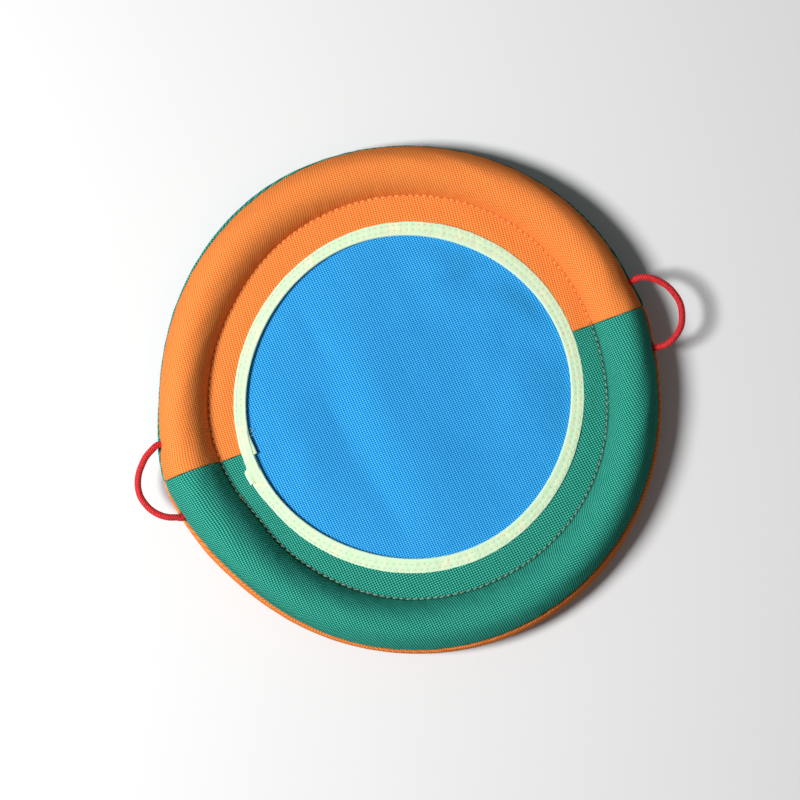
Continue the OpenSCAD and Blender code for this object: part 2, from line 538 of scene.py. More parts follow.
def spline(points: Array, spacing: float) -> Array:
    """Run a smooth line through points, with new points an even distance apart."""
    padded = np.vstack([2 * points[0] - points[1], points, 2 * points[-1] - points[-2]])
    fine = []
    for k in range(1, len(padded) - 2):
        a, b, c, d = padded[k - 1 : k + 3]
        for t in np.linspace(0, 1, SPLINE_STEPS, endpoint=False):
            curve = (2 * b + (c - a) * t + (2 * a - 5 * b + 4 * c - d) * t**2
                     + (3 * b - a - 3 * c + d) * t**3)
            fine.append(0.5 * curve)
    fine = np.array(fine + [points[-1]])
    run = np.concatenate([[0], np.cumsum(np.linalg.norm(np.diff(fine, axis=0), axis=1))])
    count = max(2, round(run[-1] / spacing) + 1)
    even = np.linspace(0, run[-1], count)
    return np.stack([np.interp(even, run, fine[:, axis]) for axis in range(3)], axis=1)


def length_of(line: Array) -> float:
    """Measure along a line of points."""
    return float(np.linalg.norm(np.diff(line, axis=0), axis=1).sum())


def sweep(name: str, line: Array, sides: int, radius: Callable[[Array, Array], Array]) -> Piece:
    """Sweep a round cord or thread along a line.

    Args:
        name: The piece's name.
        line: Points along its middle, evenly spaced.
        sides: Faces round it.
        radius: Gives its radius from the distance along it and the share of the way round.

    Returns:
        A closed tube, whose pattern runs along it in metres and round it from 0 to 1.
    """
    ahead = np.gradient(line, axis=0)
    ahead /= np.linalg.norm(ahead, axis=1, keepdims=True)
    across = np.cross(np.array([0.0, 0.0, 1.0]), ahead)
    across /= np.linalg.norm(across, axis=1, keepdims=True)
    up = np.cross(ahead, across)
    run = np.linspace(0, length_of(line), len(line))

    def form(u: Array, v: Array) -> Pair:
        """Wrap the grid round the line."""
        row = nth(u, len(line))
        spin = v * TURN
        wide, high = np.cos(spin)[:, None] * across[row], np.sin(spin)[:, None] * up[row]
        places = line[row] + radius(run[row], v)[:, None] * (wide + high)
        return places, np.stack([run[row], v], axis=1)

    return lay_grid(name, len(line) - 1, sides, form, closed=True)


# ---- Finishes ------------------------------------------------------------------------------


def toned(colour: Colour, share: float) -> Colour:
    """Give a colour made that many times as bright."""
    return tuple(share * part for part in colour)


class Nodes:
    """A tree of nodes that numbers and colours are mixed in."""

    def __init__(self, tree: bpy.types.NodeTree) -> None:
        """Start from the nodes that the tree already has."""
        self.tree = tree

    def node(self, kind: str, inputs: dict[int | str, Value], **settings: object) -> bpy.types.Node:
        """Add a node.

        Args:
            kind: The node's type.
            inputs: Values or sockets for its inputs, by name or place.
            **settings: Its own options.

        Returns:
            The node.
        """
        made = self.tree.nodes.new(kind)
        for option, value in settings.items():
            setattr(made, option, value)
        for place, value in inputs.items():
            self.feed(made.inputs[place], value)
        return made

    def feed(self, socket: Socket, value: Value) -> None:
        """Join a socket to another one, or set it."""
        if isinstance(value, Socket):
            self.tree.links.new(value, socket)
        else:
            socket.default_value = value

    def math(self, operation: str, *values: Value) -> Socket:
        """Work out a number."""
        made = self.node("ShaderNodeMath", dict(enumerate(values)), operation=operation)
        return made.outputs[0]

    def times(self, first: Value, second: Value) -> Socket:
        """Multiply two numbers."""
        return self.math("MULTIPLY", first, second)

    def rays(self, *kinds: str) -> Socket:
        """Give 1 on rays of any of the kinds, and 0 on others."""
        path = self.node("ShaderNodeLightPath", {}).outputs
        seen = path[f"Is {kinds[0]} Ray"]
        for kind in kinds[1:]:
            seen = self.math("MAXIMUM", seen, path[f"Is {kind} Ray"])
        return seen

    def mix(self, share: Value, first: Value, second: Value) -> Socket:
        """Mix two colours."""
        ends = [value if isinstance(value, Socket) else (*value, 1.0)
                for value in (first, second)]
        made = self.node("ShaderNodeMix", {0: share, 6: ends[0], 7: ends[1]}, data_type="RGBA")
        return made.outputs[2]

    def rise(self, value: Value, low: float, high: float) -> Socket:
        """Rise smoothly from 0 at low to 1 at high."""
        inputs = {0: value, 1: low, 2: high, 3: 0.0, 4: 1.0}
        made = self.node("ShaderNodeMapRange", inputs, interpolation_type="SMOOTHSTEP")
        return made.outputs[0]

    def noise(self, where: Value, scale: float, detail: float = 2.0) -> Socket:
        """Add cloudy noise from 0 to 1, with its scale per metre."""
        made = self.node("ShaderNodeTexNoise", {"Vector": where, "Scale": scale, "Detail": detail})
        return made.outputs[0]


class Recipe(Nodes):
    """One material and the nodes that it is mixed from."""

    def __init__(self, name: str) -> None:
        """Start a material with its shader."""
        self.material = bpy.data.materials.new(name)
        self.material.use_nodes = True
        super().__init__(self.material.node_tree)
        self.shader = self.tree.nodes["Principled BSDF"]

    def pattern(self) -> Socket:
        """Read the piece's flat pattern."""
        return self.node("ShaderNodeUVMap", {}, uv_map="pattern").outputs[0]

    def place(self) -> Socket:
        """Read the place of a point on the piece."""
        return self.node("ShaderNodeTexCoord", {}).outputs["Object"]

    def crossed(
        self, ways: Sequence[Value], lift: float, fullness: float, roundness: float
    ) -> Socket:
        """Give the height of two sets of threads that pass over and under each other.

        Args:
            ways: The count of threads across each of the two sets.
            lift: How far a thread rises and falls over the others.
            fullness: The height of a thread's own section.
            roundness: The power that shapes that section, lower for a flatter thread.

        Returns:
            The height of whichever set is uppermost.
        """
        swings = [self.math("COSINE", self.times(way, math.pi)) for way in ways]
        heights = []
        for mine, other, rise in ((0, 1, lift), (1, 0, -lift)):
            over = self.times(swings[other], self.math("SIGN", swings[mine]))
            full = self.math("POWER", self.math("ABSOLUTE", swings[mine]), roundness)
            heights.append(self.math("MULTIPLY_ADD", over, rise, self.times(full, fullness)))
        return self.math("MAXIMUM", *heights)

    def paint_shade(self, colour: Value, shade: Colour, depth: float) -> Socket:
        """Paint shade into a colour, darkening it towards a shade colour by the piece's painted
        shade.
        """
        hole = self.node("ShaderNodeAttribute", {}, attribute_name=PAINTED_SHADE).outputs["Fac"]
        return self.mix(self.times(hole, depth), colour, shade)

    def constants(self, **sockets: float | tuple) -> None:
        """Set constant values of the shader's own sockets, with _ for each space."""
        for socket, value in sockets.items():
            self.shader.inputs[socket.replace("_", " ")].default_value = value

    def finish(self, colour: Value, height: Value, relief: float, **sockets: float) -> Material:
        """Join the colour and the relief to the shader.

        Args:
            colour: The base colour.
            height: The relief from 0 to 1.
            relief: Its depth in mm.
            **sockets: Constant values of the shader's own sockets, with _ for each space.

        Returns:
            The finished material.
        """
        self.feed(self.shader.inputs["Base Color"], colour)
        bump = self.node("ShaderNodeBump",
                         {"Strength": 1.0, "Distance": relief * MM, "Height": height})
        self.feed(self.shader.inputs["Normal"], bump.outputs[0])
        self.constants(**sockets)
        return self.material


@dataclass(frozen=True)
class Threads:
    """One of a cloth's two sets of threads: how far apart in mm, and the way across them."""

    spacing: float
    across: float


@dataclass(frozen=True)
class WovenCloth:
    """Coarse plain-weave oxford cloth."""

    name: str
    thread: Colour
    # The crown colour is a painted highlight on the tops of the threads, the pore colour painted
    # shade between them.
    crown: Colour
    pore: Colour
    warp: Threads
    weft: Threads
    relief: float = 0.22
    lift: float = 0.42
    fullness: float = 0.62
    roundness: float = 0.7
    pore_rise: Range = (0.22, 0.82)
    painted_highlight_rise: Range = (0.72, 1.02)
    wander_scale: float = 90.0
    wander: float = 0.35
    streaks: float = 0.10
    cloud_scale: float = 22.0
    clouds: float = 0.16
    clear: float = -0.05
    dull: float = 0.6
    # How dark the painted shade from the cover's attribute is, and its tone as a share of the pore
    # colour.
    hole: float = 0.85
    painted_shade_tone: float = 0.25

    def count(self, recipe: Recipe, pattern: Value, threads: Threads, wander: Value) -> Socket:
        """Count threads across the cloth, with a little wander."""
        turn = math.radians(threads.across)
        rate = 1 / (threads.spacing * MM)
        way = (math.cos(turn) * rate, math.sin(turn) * rate, 0.0)
        made = recipe.node("ShaderNodeVectorMath", {0: pattern, 1: way}, operation="DOT_PRODUCT")
        return recipe.math("ADD", made.outputs["Value"], wander)

    def shade(self, recipe: Recipe, pattern: Value, warp: Value) -> Socket:
        """Give how dull each place is, from thread to thread and in soft clouds."""
        number = recipe.math("ROUND", warp)
        each = recipe.node("ShaderNodeTexWhiteNoise", {"W": number}, noise_dimensions="1D")
        streaks = recipe.times(each.outputs[0], self.streaks)
        clouds = recipe.times(recipe.noise(pattern, self.cloud_scale, 3.0), self.clouds)
        return recipe.math("ADD", recipe.math("ADD", streaks, clouds), self.clear)

    def make(self) -> Material:
        """Make the material."""
        recipe = Recipe(self.name)
        pattern = recipe.pattern()
        wander = recipe.times(recipe.noise(pattern, self.wander_scale), self.wander)
        ways = [self.count(recipe, pattern, way, wander) for way in (self.warp, self.weft)]
        height = recipe.crossed(ways, self.lift, self.fullness, self.roundness)
        # Painted shade in the gaps and a painted highlight on the tops of the threads, by their
        # height; random dullness; then the cover's painted shade.
        body = recipe.mix(recipe.rise(height, *self.pore_rise), self.pore, self.thread)
        crown = recipe.mix(recipe.rise(height, *self.painted_highlight_rise), body, self.crown)
        shade = self.shade(recipe, pattern, ways[0])
        dulled = recipe.mix(shade, crown, toned(self.thread, self.dull))
        colour = recipe.paint_shade(dulled, toned(self.pore, self.painted_shade_tone), self.hole)
        return recipe.finish(colour, height, self.relief, Roughness=0.85, Specular_IOR_Level=0.05)


@dataclass(frozen=True)
class TapeFinish:
    """Thin woven binding tape with fine ribs along it and faint specks; lengths in mm."""

    name: str
    body: Colour
    # The groove colour is painted shade between the ribs; the colour at both edges is a painted
    # highlight.
    groove: Colour
    speck: Colour
    blush: Colour
    painted_edge_highlight: Colour
    rib_spacing: float = 0.55
    pick_spacing: float = 0.42
    half_width: float = 3.1
    relief: float = 0.08
    weave: float = 0.3
    ribs: float = 0.2
    cloud_scale: float = 160.0
    cloud_rise: Range = (0.48, 0.72)
    clouds: float = 0.7
    fleck_scale: float = 620.0
    fleck_rise: Range = (0.56, 0.72)
    flecks: float = 0.7
    # Where across the tape the painted highlight at the edges starts, and how strong it is.
    edge_highlight_rise: Range = (0.66, 0.95)
    edges: float = 0.5
    hole: float = 0.75
    painted_shade_tone: float = 0.45

    def make(self) -> Material:
        """Make the material."""
        recipe = Recipe(self.name)
        pattern = recipe.pattern()
        along, across = recipe.node("ShaderNodeSeparateXYZ", {0: pattern}).outputs[:2]
        ribs, picks = (
            recipe.math("SINE", recipe.times(way, TURN / (spacing * MM)))
            for way, spacing in ((across, self.rib_spacing), (along, self.pick_spacing))
        )
        ribbed = recipe.math("MULTIPLY_ADD", ribs, self.ribs, 0.5)
        weave = recipe.math("MULTIPLY_ADD", recipe.times(ribs, picks), self.weave, ribbed)
        clouds = recipe.rise(recipe.noise(pattern, self.cloud_scale, 3.0), *self.cloud_rise)
        flecks = recipe.rise(recipe.noise(recipe.place(), self.fleck_scale), *self.fleck_rise)
        half = recipe.times(across, 1 / (self.half_width * MM))
        beside = recipe.math("ABSOLUTE", recipe.math("SUBTRACT", half, 1.0))
        edges = recipe.rise(beside, *self.edge_highlight_rise)
        # Painted shade in the grooves between the ribs, random specks and flecks, a painted
        # highlight along both edges, and painted shade at the needle holes.
        colour = recipe.mix(weave, self.groove, self.body)
        for part, share, tint in ((clouds, self.clouds, self.speck),
                                  (flecks, self.flecks, self.blush),
                                  (edges, self.edges, self.painted_edge_highlight)):
            colour = recipe.mix(recipe.times(part, share), colour, tint)
        colour = recipe.paint_shade(colour, toned(self.groove, self.painted_shade_tone), self.hole)
        return recipe.finish(colour, weave, self.relief, Roughness=0.82, Sheen_Weight=0.1,
                             Sheen_Roughness=0.5, Specular_IOR_Level=0.25)


@dataclass(frozen=True)
class Braid:
    """The form of a round braid: its yarns, and how they pass over and under."""

    carriers: int = 8
    pitch: float = 4.4 * MM
    lift: float = 0.35
    fullness: float = 0.6
    roundness: float = 0.6

    @property
    def along(self) -> float:
        """How many yarns of one set cross a line along the cord, per metre."""
        return self.carriers / (2 * self.pitch)

    def height(self, run: Array, about: Array) -> Array:
        """Give the height of the uppermost yarns at a distance along and a share round."""
        spin = about * self.carriers / 2
        swings = [np.cos(np.pi * (run * self.along + sign * spin)) for sign in (1, -1)]
        high = [
            self.fullness * np.abs(mine) ** self.roundness + rise * other * np.sign(mine)
            for mine, other, rise in ((*swings, self.lift), (*swings[::-1], -self.lift))
        ]
        return np.maximum(*high)


BRAID = Braid()


@dataclass(frozen=True)
class CordFinish:
    """Round braid of shiny yarn over an elastic core."""

    name: str
    yarn: Colour
    # The crown colour is a painted highlight on the tops of the yarns, the gap colour painted shade
    # between them.
    crown: Colour
    gap: Colour
    relief: float = 0.16
    yarn_rise: Range = (0.3, 0.8)
    painted_highlight_rise: Range = (0.7, 0.95)
    cloud_scale: float = 900.0
    cloud_rise: Range = (0.45, 0.7)
    clouds: float = 0.5

    def make(self) -> Material:
        """Make the material."""
        recipe = Recipe(self.name)
        run, share = recipe.node("ShaderNodeSeparateXYZ", {0: recipe.pattern()}).outputs[:2]
        along = recipe.times(run, BRAID.along)
        about = recipe.times(share, BRAID.carriers / 2)
        ways = [recipe.math(sign, along, about) for sign in ("ADD", "SUBTRACT")]
        height = recipe.crossed(ways, BRAID.lift, BRAID.fullness, BRAID.roundness)
        # Painted shade between the yarns and a painted highlight on their tops, by their height;
        # random clouds darken it towards the gap colour.
        body = recipe.mix(recipe.rise(height, *self.yarn_rise), self.gap, self.yarn)
        wear_and_highlight = recipe.mix(recipe.rise(height, *self.painted_highlight_rise), body, self.crown)
        clouds = recipe.rise(recipe.noise(recipe.place(), self.cloud_scale), *self.cloud_rise)
        colour = recipe.mix(recipe.times(clouds, self.clouds), wear_and_highlight, self.gap)
        return recipe.finish(colour, height, self.relief, Roughness=0.6, Sheen_Weight=0.04,
                             Sheen_Roughness=0.4, Specular_IOR_Level=0.2)


@dataclass(frozen=True)
class ThreadFinish:
    """Twisted sewing thread."""

    name: str
    light: Colour
    dark: Colour
    twist_scale: float = 420.0
    cloud_scale: float = 700.0
    darkened: float = 0.45
    relief: float = 0.05

    def make(self) -> Material:
        """Make the material."""
        recipe = Recipe(self.name)
        where = recipe.place()
        bands = {"Vector": where, "Scale": self.twist_scale, "Distortion": 2.0}
        twist = recipe.node("ShaderNodeTexWave", bands, bands_direction="DIAGONAL").outputs[1]
        clouds = recipe.noise(where, self.cloud_scale)
        share = recipe.times(recipe.math("ADD", twist, clouds), self.darkened)
        colour = recipe.mix(share, self.light, self.dark)
        return recipe.finish(colour, twist, self.relief, Roughness=0.55, Sheen_Weight=0.1,
                             Sheen_Roughness=0.4, Specular_IOR_Level=0.35)


@dataclass(frozen=True)
class FoamFinish:
    """Soft closed-cell foam with fine open pores where it was cut."""

    name: str
    body: Colour
    pore: Colour
    cell_scale: float = 1400.0
    pore_rise: Range = (0.1, 0.6)
    relief: float = 0.2

    def make(self) -> Material:
        """Make the material."""
        recipe = Recipe(self.name)
        cells = recipe.node(
            "ShaderNodeTexVoronoi", {"Vector": recipe.place(), "Scale": self.cell_scale}
        ).outputs[0]
        colour = recipe.mix(recipe.rise(cells, *self.pore_rise), self.pore, self.body)
        return recipe.finish(colour, cells, self.relief, Roughness=0.9, Specular_IOR_Level=0.2)


# In the cloths below, crown colours are painted highlights and pore colours painted shade.
ORANGE_CLOTH = WovenCloth(
    "orange oxford", thread=(1.0, 0.255, 0.050), crown=(1.0, 0.42, 0.12),
    pore=(0.58, 0.085, 0.008), warp=Threads(1.20, -3.0), weft=Threads(0.88, 82.8),
)
GREEN_CLOTH = WovenCloth(
    "green oxford", thread=(0.005, 0.24, 0.165), crown=(0.115, 0.62, 0.50),
    pore=(0.000, 0.022, 0.010), warp=Threads(1.186, 7.0), weft=Threads(1.00, 94.0),
)
BLUE_CLOTH = WovenCloth(
    "blue oxford", thread=(0.010, 0.34, 0.84), crown=(0.13, 0.62, 1.0),
    pore=(0.000, 0.045, 0.28), warp=Threads(1.14, 4.7), weft=Threads(0.924, 90.8),
)
# The tape's groove colour is painted shade, and its colour at the edges a painted highlight.
BINDING_TAPE = TapeFinish(
    "pale green tape", body=(0.76, 0.95, 0.66), groove=(0.62, 0.86, 0.56),
    speck=(0.90, 0.92, 0.60), blush=(0.80, 0.68, 0.52), painted_edge_highlight=(0.70, 0.96, 0.74),
)
# The cord's crown colour is a painted highlight, its gap colour painted shade.
RED_CORD = CordFinish(
    "red braid", yarn=(0.74, 0.022, 0.028), crown=(0.95, 0.062, 0.07), gap=(0.24, 0.004, 0.006),
)
ORANGE_THREAD = ThreadFinish("orange thread", light=(0.93, 0.34, 0.10), dark=(0.82, 0.26, 0.06))
GREY_THREAD = ThreadFinish("grey thread", light=(0.28, 0.47, 0.37), dark=(0.09, 0.07, 0.05))
RUST_THREAD = ThreadFinish("rust thread", light=(0.50, 0.40, 0.29), dark=(0.12, 0.06, 0.04))
PALE_THREAD = ThreadFinish("pale thread", light=(0.78, 0.88, 0.66), dark=(0.55, 0.68, 0.46))
WHITE_FOAM = FoamFinish("white foam", body=(0.85, 0.84, 0.80), pore=(0.55, 0.54, 0.50))


# ---- Studio --------------------------------------------------------------------------------


@dataclass
class Studio:
    """The camera over the disc, the soft lamp to its left, the pale room and the floor."""

    span: float = 0.36220
    height: float = 1.0
    middle: float = 0.0118
    turn: float = -20.0
    picture: float = 800.0
    centre: Range = (10.0, 0.5)
    sensor: float = 36.0
    clip: Range = (0.05, 20.0)
    lamp_turn: float = 167.0
    lamp_lift: float = 54.0
    lamp_distance: float = 1.4
    lamp_size: float = 0.42
    lamp_power: float = 24.0
    room: float = 0.10
    floor: Colour = (0.80, 0.80, 0.80)
    floor_size: float = 3.0
    floor_bounce: float = 0.30
    floor_near: float = 0.27
    floor_far: float = 0.8

    def camera(self) -> None:
        """Hang the camera straight above the disc, turned as the disc is seen."""
        data = bpy.data.cameras.new("camera")
        data.sensor_width = self.sensor
        data.lens = self.sensor * self.height / self.span
        data.clip_start, data.clip_end = self.clip
        camera = bpy.data.objects.new("camera", data)
        turn = math.radians(self.turn)
        right = Vector((math.cos(turn), math.sin(turn), 0))
        up = Vector((-math.sin(turn), math.cos(turn), 0))
        pixel = self.span / self.picture
        aim = -(right * self.centre[0] + up * self.centre[1]) * pixel
        camera.location = aim + Vector((0, 0, self.middle + self.height))
        camera.rotation_euler = (0, 0, turn)
        bpy.context.scene.collection.objects.link(camera)
        bpy.context.scene.camera = camera

    def lamp(self) -> None:
        """Set the soft lamp to the left of the picture."""
        data = bpy.data.lights.new("soft lamp", "AREA")
        data.shape = "DISK"
        data.size = self.lamp_size
        data.energy = self.lamp_power
        turn, lift = math.radians(self.lamp_turn), math.radians(self.lamp_lift)
        flat = math.cos(lift)
        way = Vector((math.cos(turn) * flat, math.sin(turn) * flat, math.sin(lift)))
        lamp = bpy.data.objects.new("soft lamp", data)
        lamp.location = way * self.lamp_distance
        lamp.rotation_euler = way.to_track_quat("Z", "Y").to_euler()
        bpy.context.scene.collection.objects.link(lamp)

    def surroundings(self) -> None:
        """Fill the room with even light, and show it pale where it is seen past the floor."""
        world = bpy.data.worlds.new("pale room")
        world.use_nodes = True
        bpy.context.scene.world = world
        nodes = Nodes(world.node_tree)
        seen = nodes.rays("Camera", "Glossy")
        levels = {"Value": seen, "To Min": self.room, "To Max": self.floor[0]}
        level = nodes.node("ShaderNodeMapRange", levels).outputs[0]
        background = nodes.tree.nodes["Background"].inputs
        nodes.feed(background["Strength"], level)
        nodes.feed(background["Color"], (1, 1, 1, 1))

    def ground(self) -> None:
        """Lay the plain pale floor, which runs on as pale as the room beyond the lamp's reach."""
        shape = bmesh.new()
        bmesh.ops.create_grid(shape, x_segments=4, y_segments=4, size=self.floor_size)
        mesh = bpy.data.meshes.new("floor")
        shape.to_mesh(mesh)
        shape.free()
        floor = show(mesh, "floor")
        recipe = Recipe("pale floor")
        seen = recipe.rays("Camera", "Glossy", "Transmission")
        reach = recipe.node("ShaderNodeVectorMath", {0: recipe.place()}, operation="LENGTH")
        far = recipe.rise(reach.outputs["Value"], self.floor_near, self.floor_far)
        away = recipe.times(seen, far)
        lit = recipe.mix(seen, toned(self.floor, self.floor_bounce), self.floor)
        recipe.feed(recipe.shader.inputs["Base Color"], recipe.mix(away, lit, (0.0, 0.0, 0.0)))
        recipe.feed(recipe.shader.inputs["Emission Strength"], away)
        recipe.constants(Emission_Color=(*self.floor, 1.0), Roughness=0.9)
        mesh.materials.append(recipe.material)

    def build(self) -> None:
        """Set up the whole studio."""
        self.camera()
        self.lamp()
        self.surroundings()
        self.ground()
        bpy.context.scene.view_settings.view_transform = "Standard"


# ---- Cord loops ----------------------------------------------------------------------------


@dataclass
class CordLoop:
    """One elastic cord loop, sewn into the outer seam at both ends."""

    route: LoopRoute
    material: Material
    diameter: float = 3.0 * MM
    spacing: float = 0.25 * MM
    sides: int = 32
    relief: float = 0.12 * MM
    level: float = 0.75
    bend: Range = (-2.2, 3.6)

    def radius(self, run: Array, about: Array) -> Array:
        """Give the radius over the braid's yarns."""
        return self.diameter / 2 + self.relief * (BRAID.height(run, about) - self.level)

    def build(self) -> Piece:
        """Make the cord in place of the frame's plain loop."""
        route = self.route
        line = spline(route.line(), self.spacing)
        cord = sweep(route.name, line, self.sides, self.radius)
        cord.data.materials.append(self.material)
        start, end = (tuple(route.bend_point(x)) for x in self.bend)
        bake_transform(cord)
        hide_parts(*route.nodes)
        tuple(route.tail_point(route.ends[0], route.tube_r))
        return cord


# ---- Rim covers ----------------------------------------------------------------------------


class Part(IntEnum):
    """The parts of a cover's section, from the opening to the edge inside the outer seam."""

    FLANGE = 0
    TUBE = 1
    ROLL = 2
    TUCK = 3


@dataclass
class CoverRows:
    """The rows of a cover across its section, as shares, degrees of roll or mm from the crease."""

    flange: tuple[float, ...] = (
        0, 0.15, 0.3, 0.45, 0.6, 0.72, 0.81, 0.87, 0.91, 0.94, 0.965, 0.985, 1.0
    )
    near_crease: tuple[float, ...] = (0.25, 0.5, 0.8, 1.2, 1.7, 2.3, 3.0, 3.8, 4.7, 5.7)
    tube_rows: int = 20
    roll: tuple[float, ...] = (0, 22, 45, 68, 90)
    tuck: tuple[float, ...] = (0.3, 1.0)
    tube_arc: float = 31.4

    @cached_property
    def stations(self) -> Pair:
        """The part that each row is on, and its share of that part or its angle of roll."""
        even = np.linspace(self.near_crease[-1], self.tube_arc, self.tube_rows + 1)[1:-1]
        tube = np.array([*self.near_crease, *even]) / self.tube_arc
        shares = (self.flange, tube, np.radians(self.roll), self.tuck)
        kinds = np.repeat([int(part) for part in Part], [len(part) for part in shares])
        return kinds, np.concatenate(shares)

    @property
    def count(self) -> int:
        """How many rows there are."""
        return len(self.stations[0])


@dataclass
class FillingOut:
    """Lets a cover's cloth fill out over the foam, held at its stitches and its seams.

    The cloth is run larger than life, from a slightly smaller form, and gives its puckers.
    """

    side: Side
    pressure: float = 4.0
    frames: int = 20
    scale: float = 20.0
    inset: float = 0.5 * MM
    mass: float = 0.3
    bending: float = 5.0
    share: float = 0.8
    cap: float = 0.45 * MM
    calm: int = 12
    ends: tuple[int, int] = (1, 5)

    def outward(self, places: Array) -> Array:
        """Give the way out of the cloth at each point of a grid."""
        way = np.cross(np.gradient(places, axis=1), np.gradient(places, axis=0))
        way /= np.linalg.norm(way, axis=2, keepdims=True)
        return way if np.sum(way[..., 2]) * self.side.value > 0 else -way

    def settle(self, name: str, places: Array, held: Array) -> Array:
        """Run the cloth from its first places.

        Args:
            name: The cloth's name.
            places: The first places, as rows of points.
            held: Which points are sewn down.

        Returns:
            The places that it comes to.
        """
        rows, columns = held.shape
        order: list[Pair] = []

        def lay(u: Array, v: Array) -> Pair:
            """Lay the cloth where it starts."""
            order.append((nth(v, rows), nth(u, columns)))
            return places[order[0]] * self.scale, np.stack([u, v], axis=1)

        piece = lay_grid(name, columns - 1, rows - 1, lay)
        face_up(piece, lambda middle, normal: normal.z * self.side.value)
        sewn = piece.vertex_groups.new(name="sewn")
        sewn.add([int(point) for point in np.flatnonzero(held[order[0]])], 1.0, "REPLACE")
        cloth = piece.modifiers.new("filling out", "CLOTH")
        cloth.point_cache.frame_start, cloth.point_cache.frame_end = 1, self.frames
        cloth.settings.vertex_group_mass = sewn.name
        cloth.settings.use_pressure = True
        cloth.settings.uniform_pressure_force = self.pressure
        cloth.settings.effector_weights.gravity = 0
        cloth.settings.mass = self.mass
        cloth.settings.bending_stiffness = self.bending
        for moment in range(1, self.frames + 1):
            bpy.context.scene.frame_set(moment)
        settled = piece.evaluated_get(bpy.context.evaluated_depsgraph_get()).data
        ends = np.zeros(len(settled.vertices) * 3)
        settled.vertices.foreach_get("co", ends)
        found = np.zeros_like(places)
        found[order[0]] = ends.reshape(-1, 3) / self.scale
        mesh = piece.data
        bpy.data.objects.remove(piece)
        bpy.data.meshes.remove(mesh)
        bpy.context.scene.frame_set(1)
        return found

    def even(self, values: Array, passes: int, axis: int) -> Array:
        """Even values out along one way of a grid."""
        for _ in range(passes):
            ends = [(1, 1) if k == axis else (0, 0) for k in range(2)]
            wide = np.moveaxis(np.pad(values, ends, mode="edge"), axis, 0)
            values = np.moveaxis((wide[:-2] + 2 * wide[1:-1] + wide[2:]) / 4, 0, axis)
        return values

    def puckers(self, name: str, places: Array, held: Array) -> Array:
        """Give how far the cloth's puckers stand out from its even form.

        Args:
            name: The cloth's name.
            places: The even form, as rows of points.
            held: Which points are sewn down.

        Returns:
            The distance outwards at each point, in metres.
        """
        way = self.outward(places)
        start = places - np.where(held, 0, self.inset)[..., None] * way
        moved = np.sum((self.settle(name, start, held) - places) * way, axis=2)
        moved = self.even(self.even(moved, 2, 1), 1, 0)
        found = np.clip(self.share * (moved - self.even(moved, self.calm, 1)), -self.cap, self.cap)
        column = np.arange(held.shape[1])
        return found * step(np.minimum(column, column[::-1]), *self.ends)


def hole_bell(turn: Array, stitches: int, circle: Array, off: Array, spread: float) -> Array:
    """Give 1 at each needle hole of a row by the circle it is on, falling to 0 round it."""
    pitch = TURN / stitches
    along = ((turn / pitch) % 1 - 0.5) * pitch * circle
    return np.exp(-(along**2 + off**2) / spread**2)


@dataclass(frozen=True)
class SewnRelief:
    """The small relief that the sewing leaves on a cover, and the painted shade along its stitches
    and seams, in metres.
    """

    hole_spread: float = 0.42 * MM
    hole_inset: float = 0.35 * MM
    hole_depth: float = 0.28 * MM
    pressed: float = 0.08 * MM
    pressed_reach: float = 1.0 * MM
    pulled: float = 0.12 * MM
    pulled_reach: float = 1.3 * MM
    gather_start: float = 0.6 * MM
    gather_reach: float = 4.5 * MM
    eased: float = 0.8
    eased_reach: float = 3.5 * MM
    eased_turn: float = 0.7
    lump_twist: float = 0.35
    wave_skew: float = 25
    wave_from_crease: float = 6 * MM
    wave_from_opening: float = 7 * MM
    edge_reach: float = 0.9 * MM
    edge_depth: float = 0.80 * MM
    edge_most: float = 0.999
    # The reach of painted shade from the crease on the flange and on the tube, and its darkness on
    # the rolled-in edge.
    flange_shade_reach: float = 0.8 * MM
    tube_shade_reach: float = 1.1 * MM
    roll_painted_shade: float = 0.8
    roll_painted_shade_rise: Range = (0.4, 1.5)


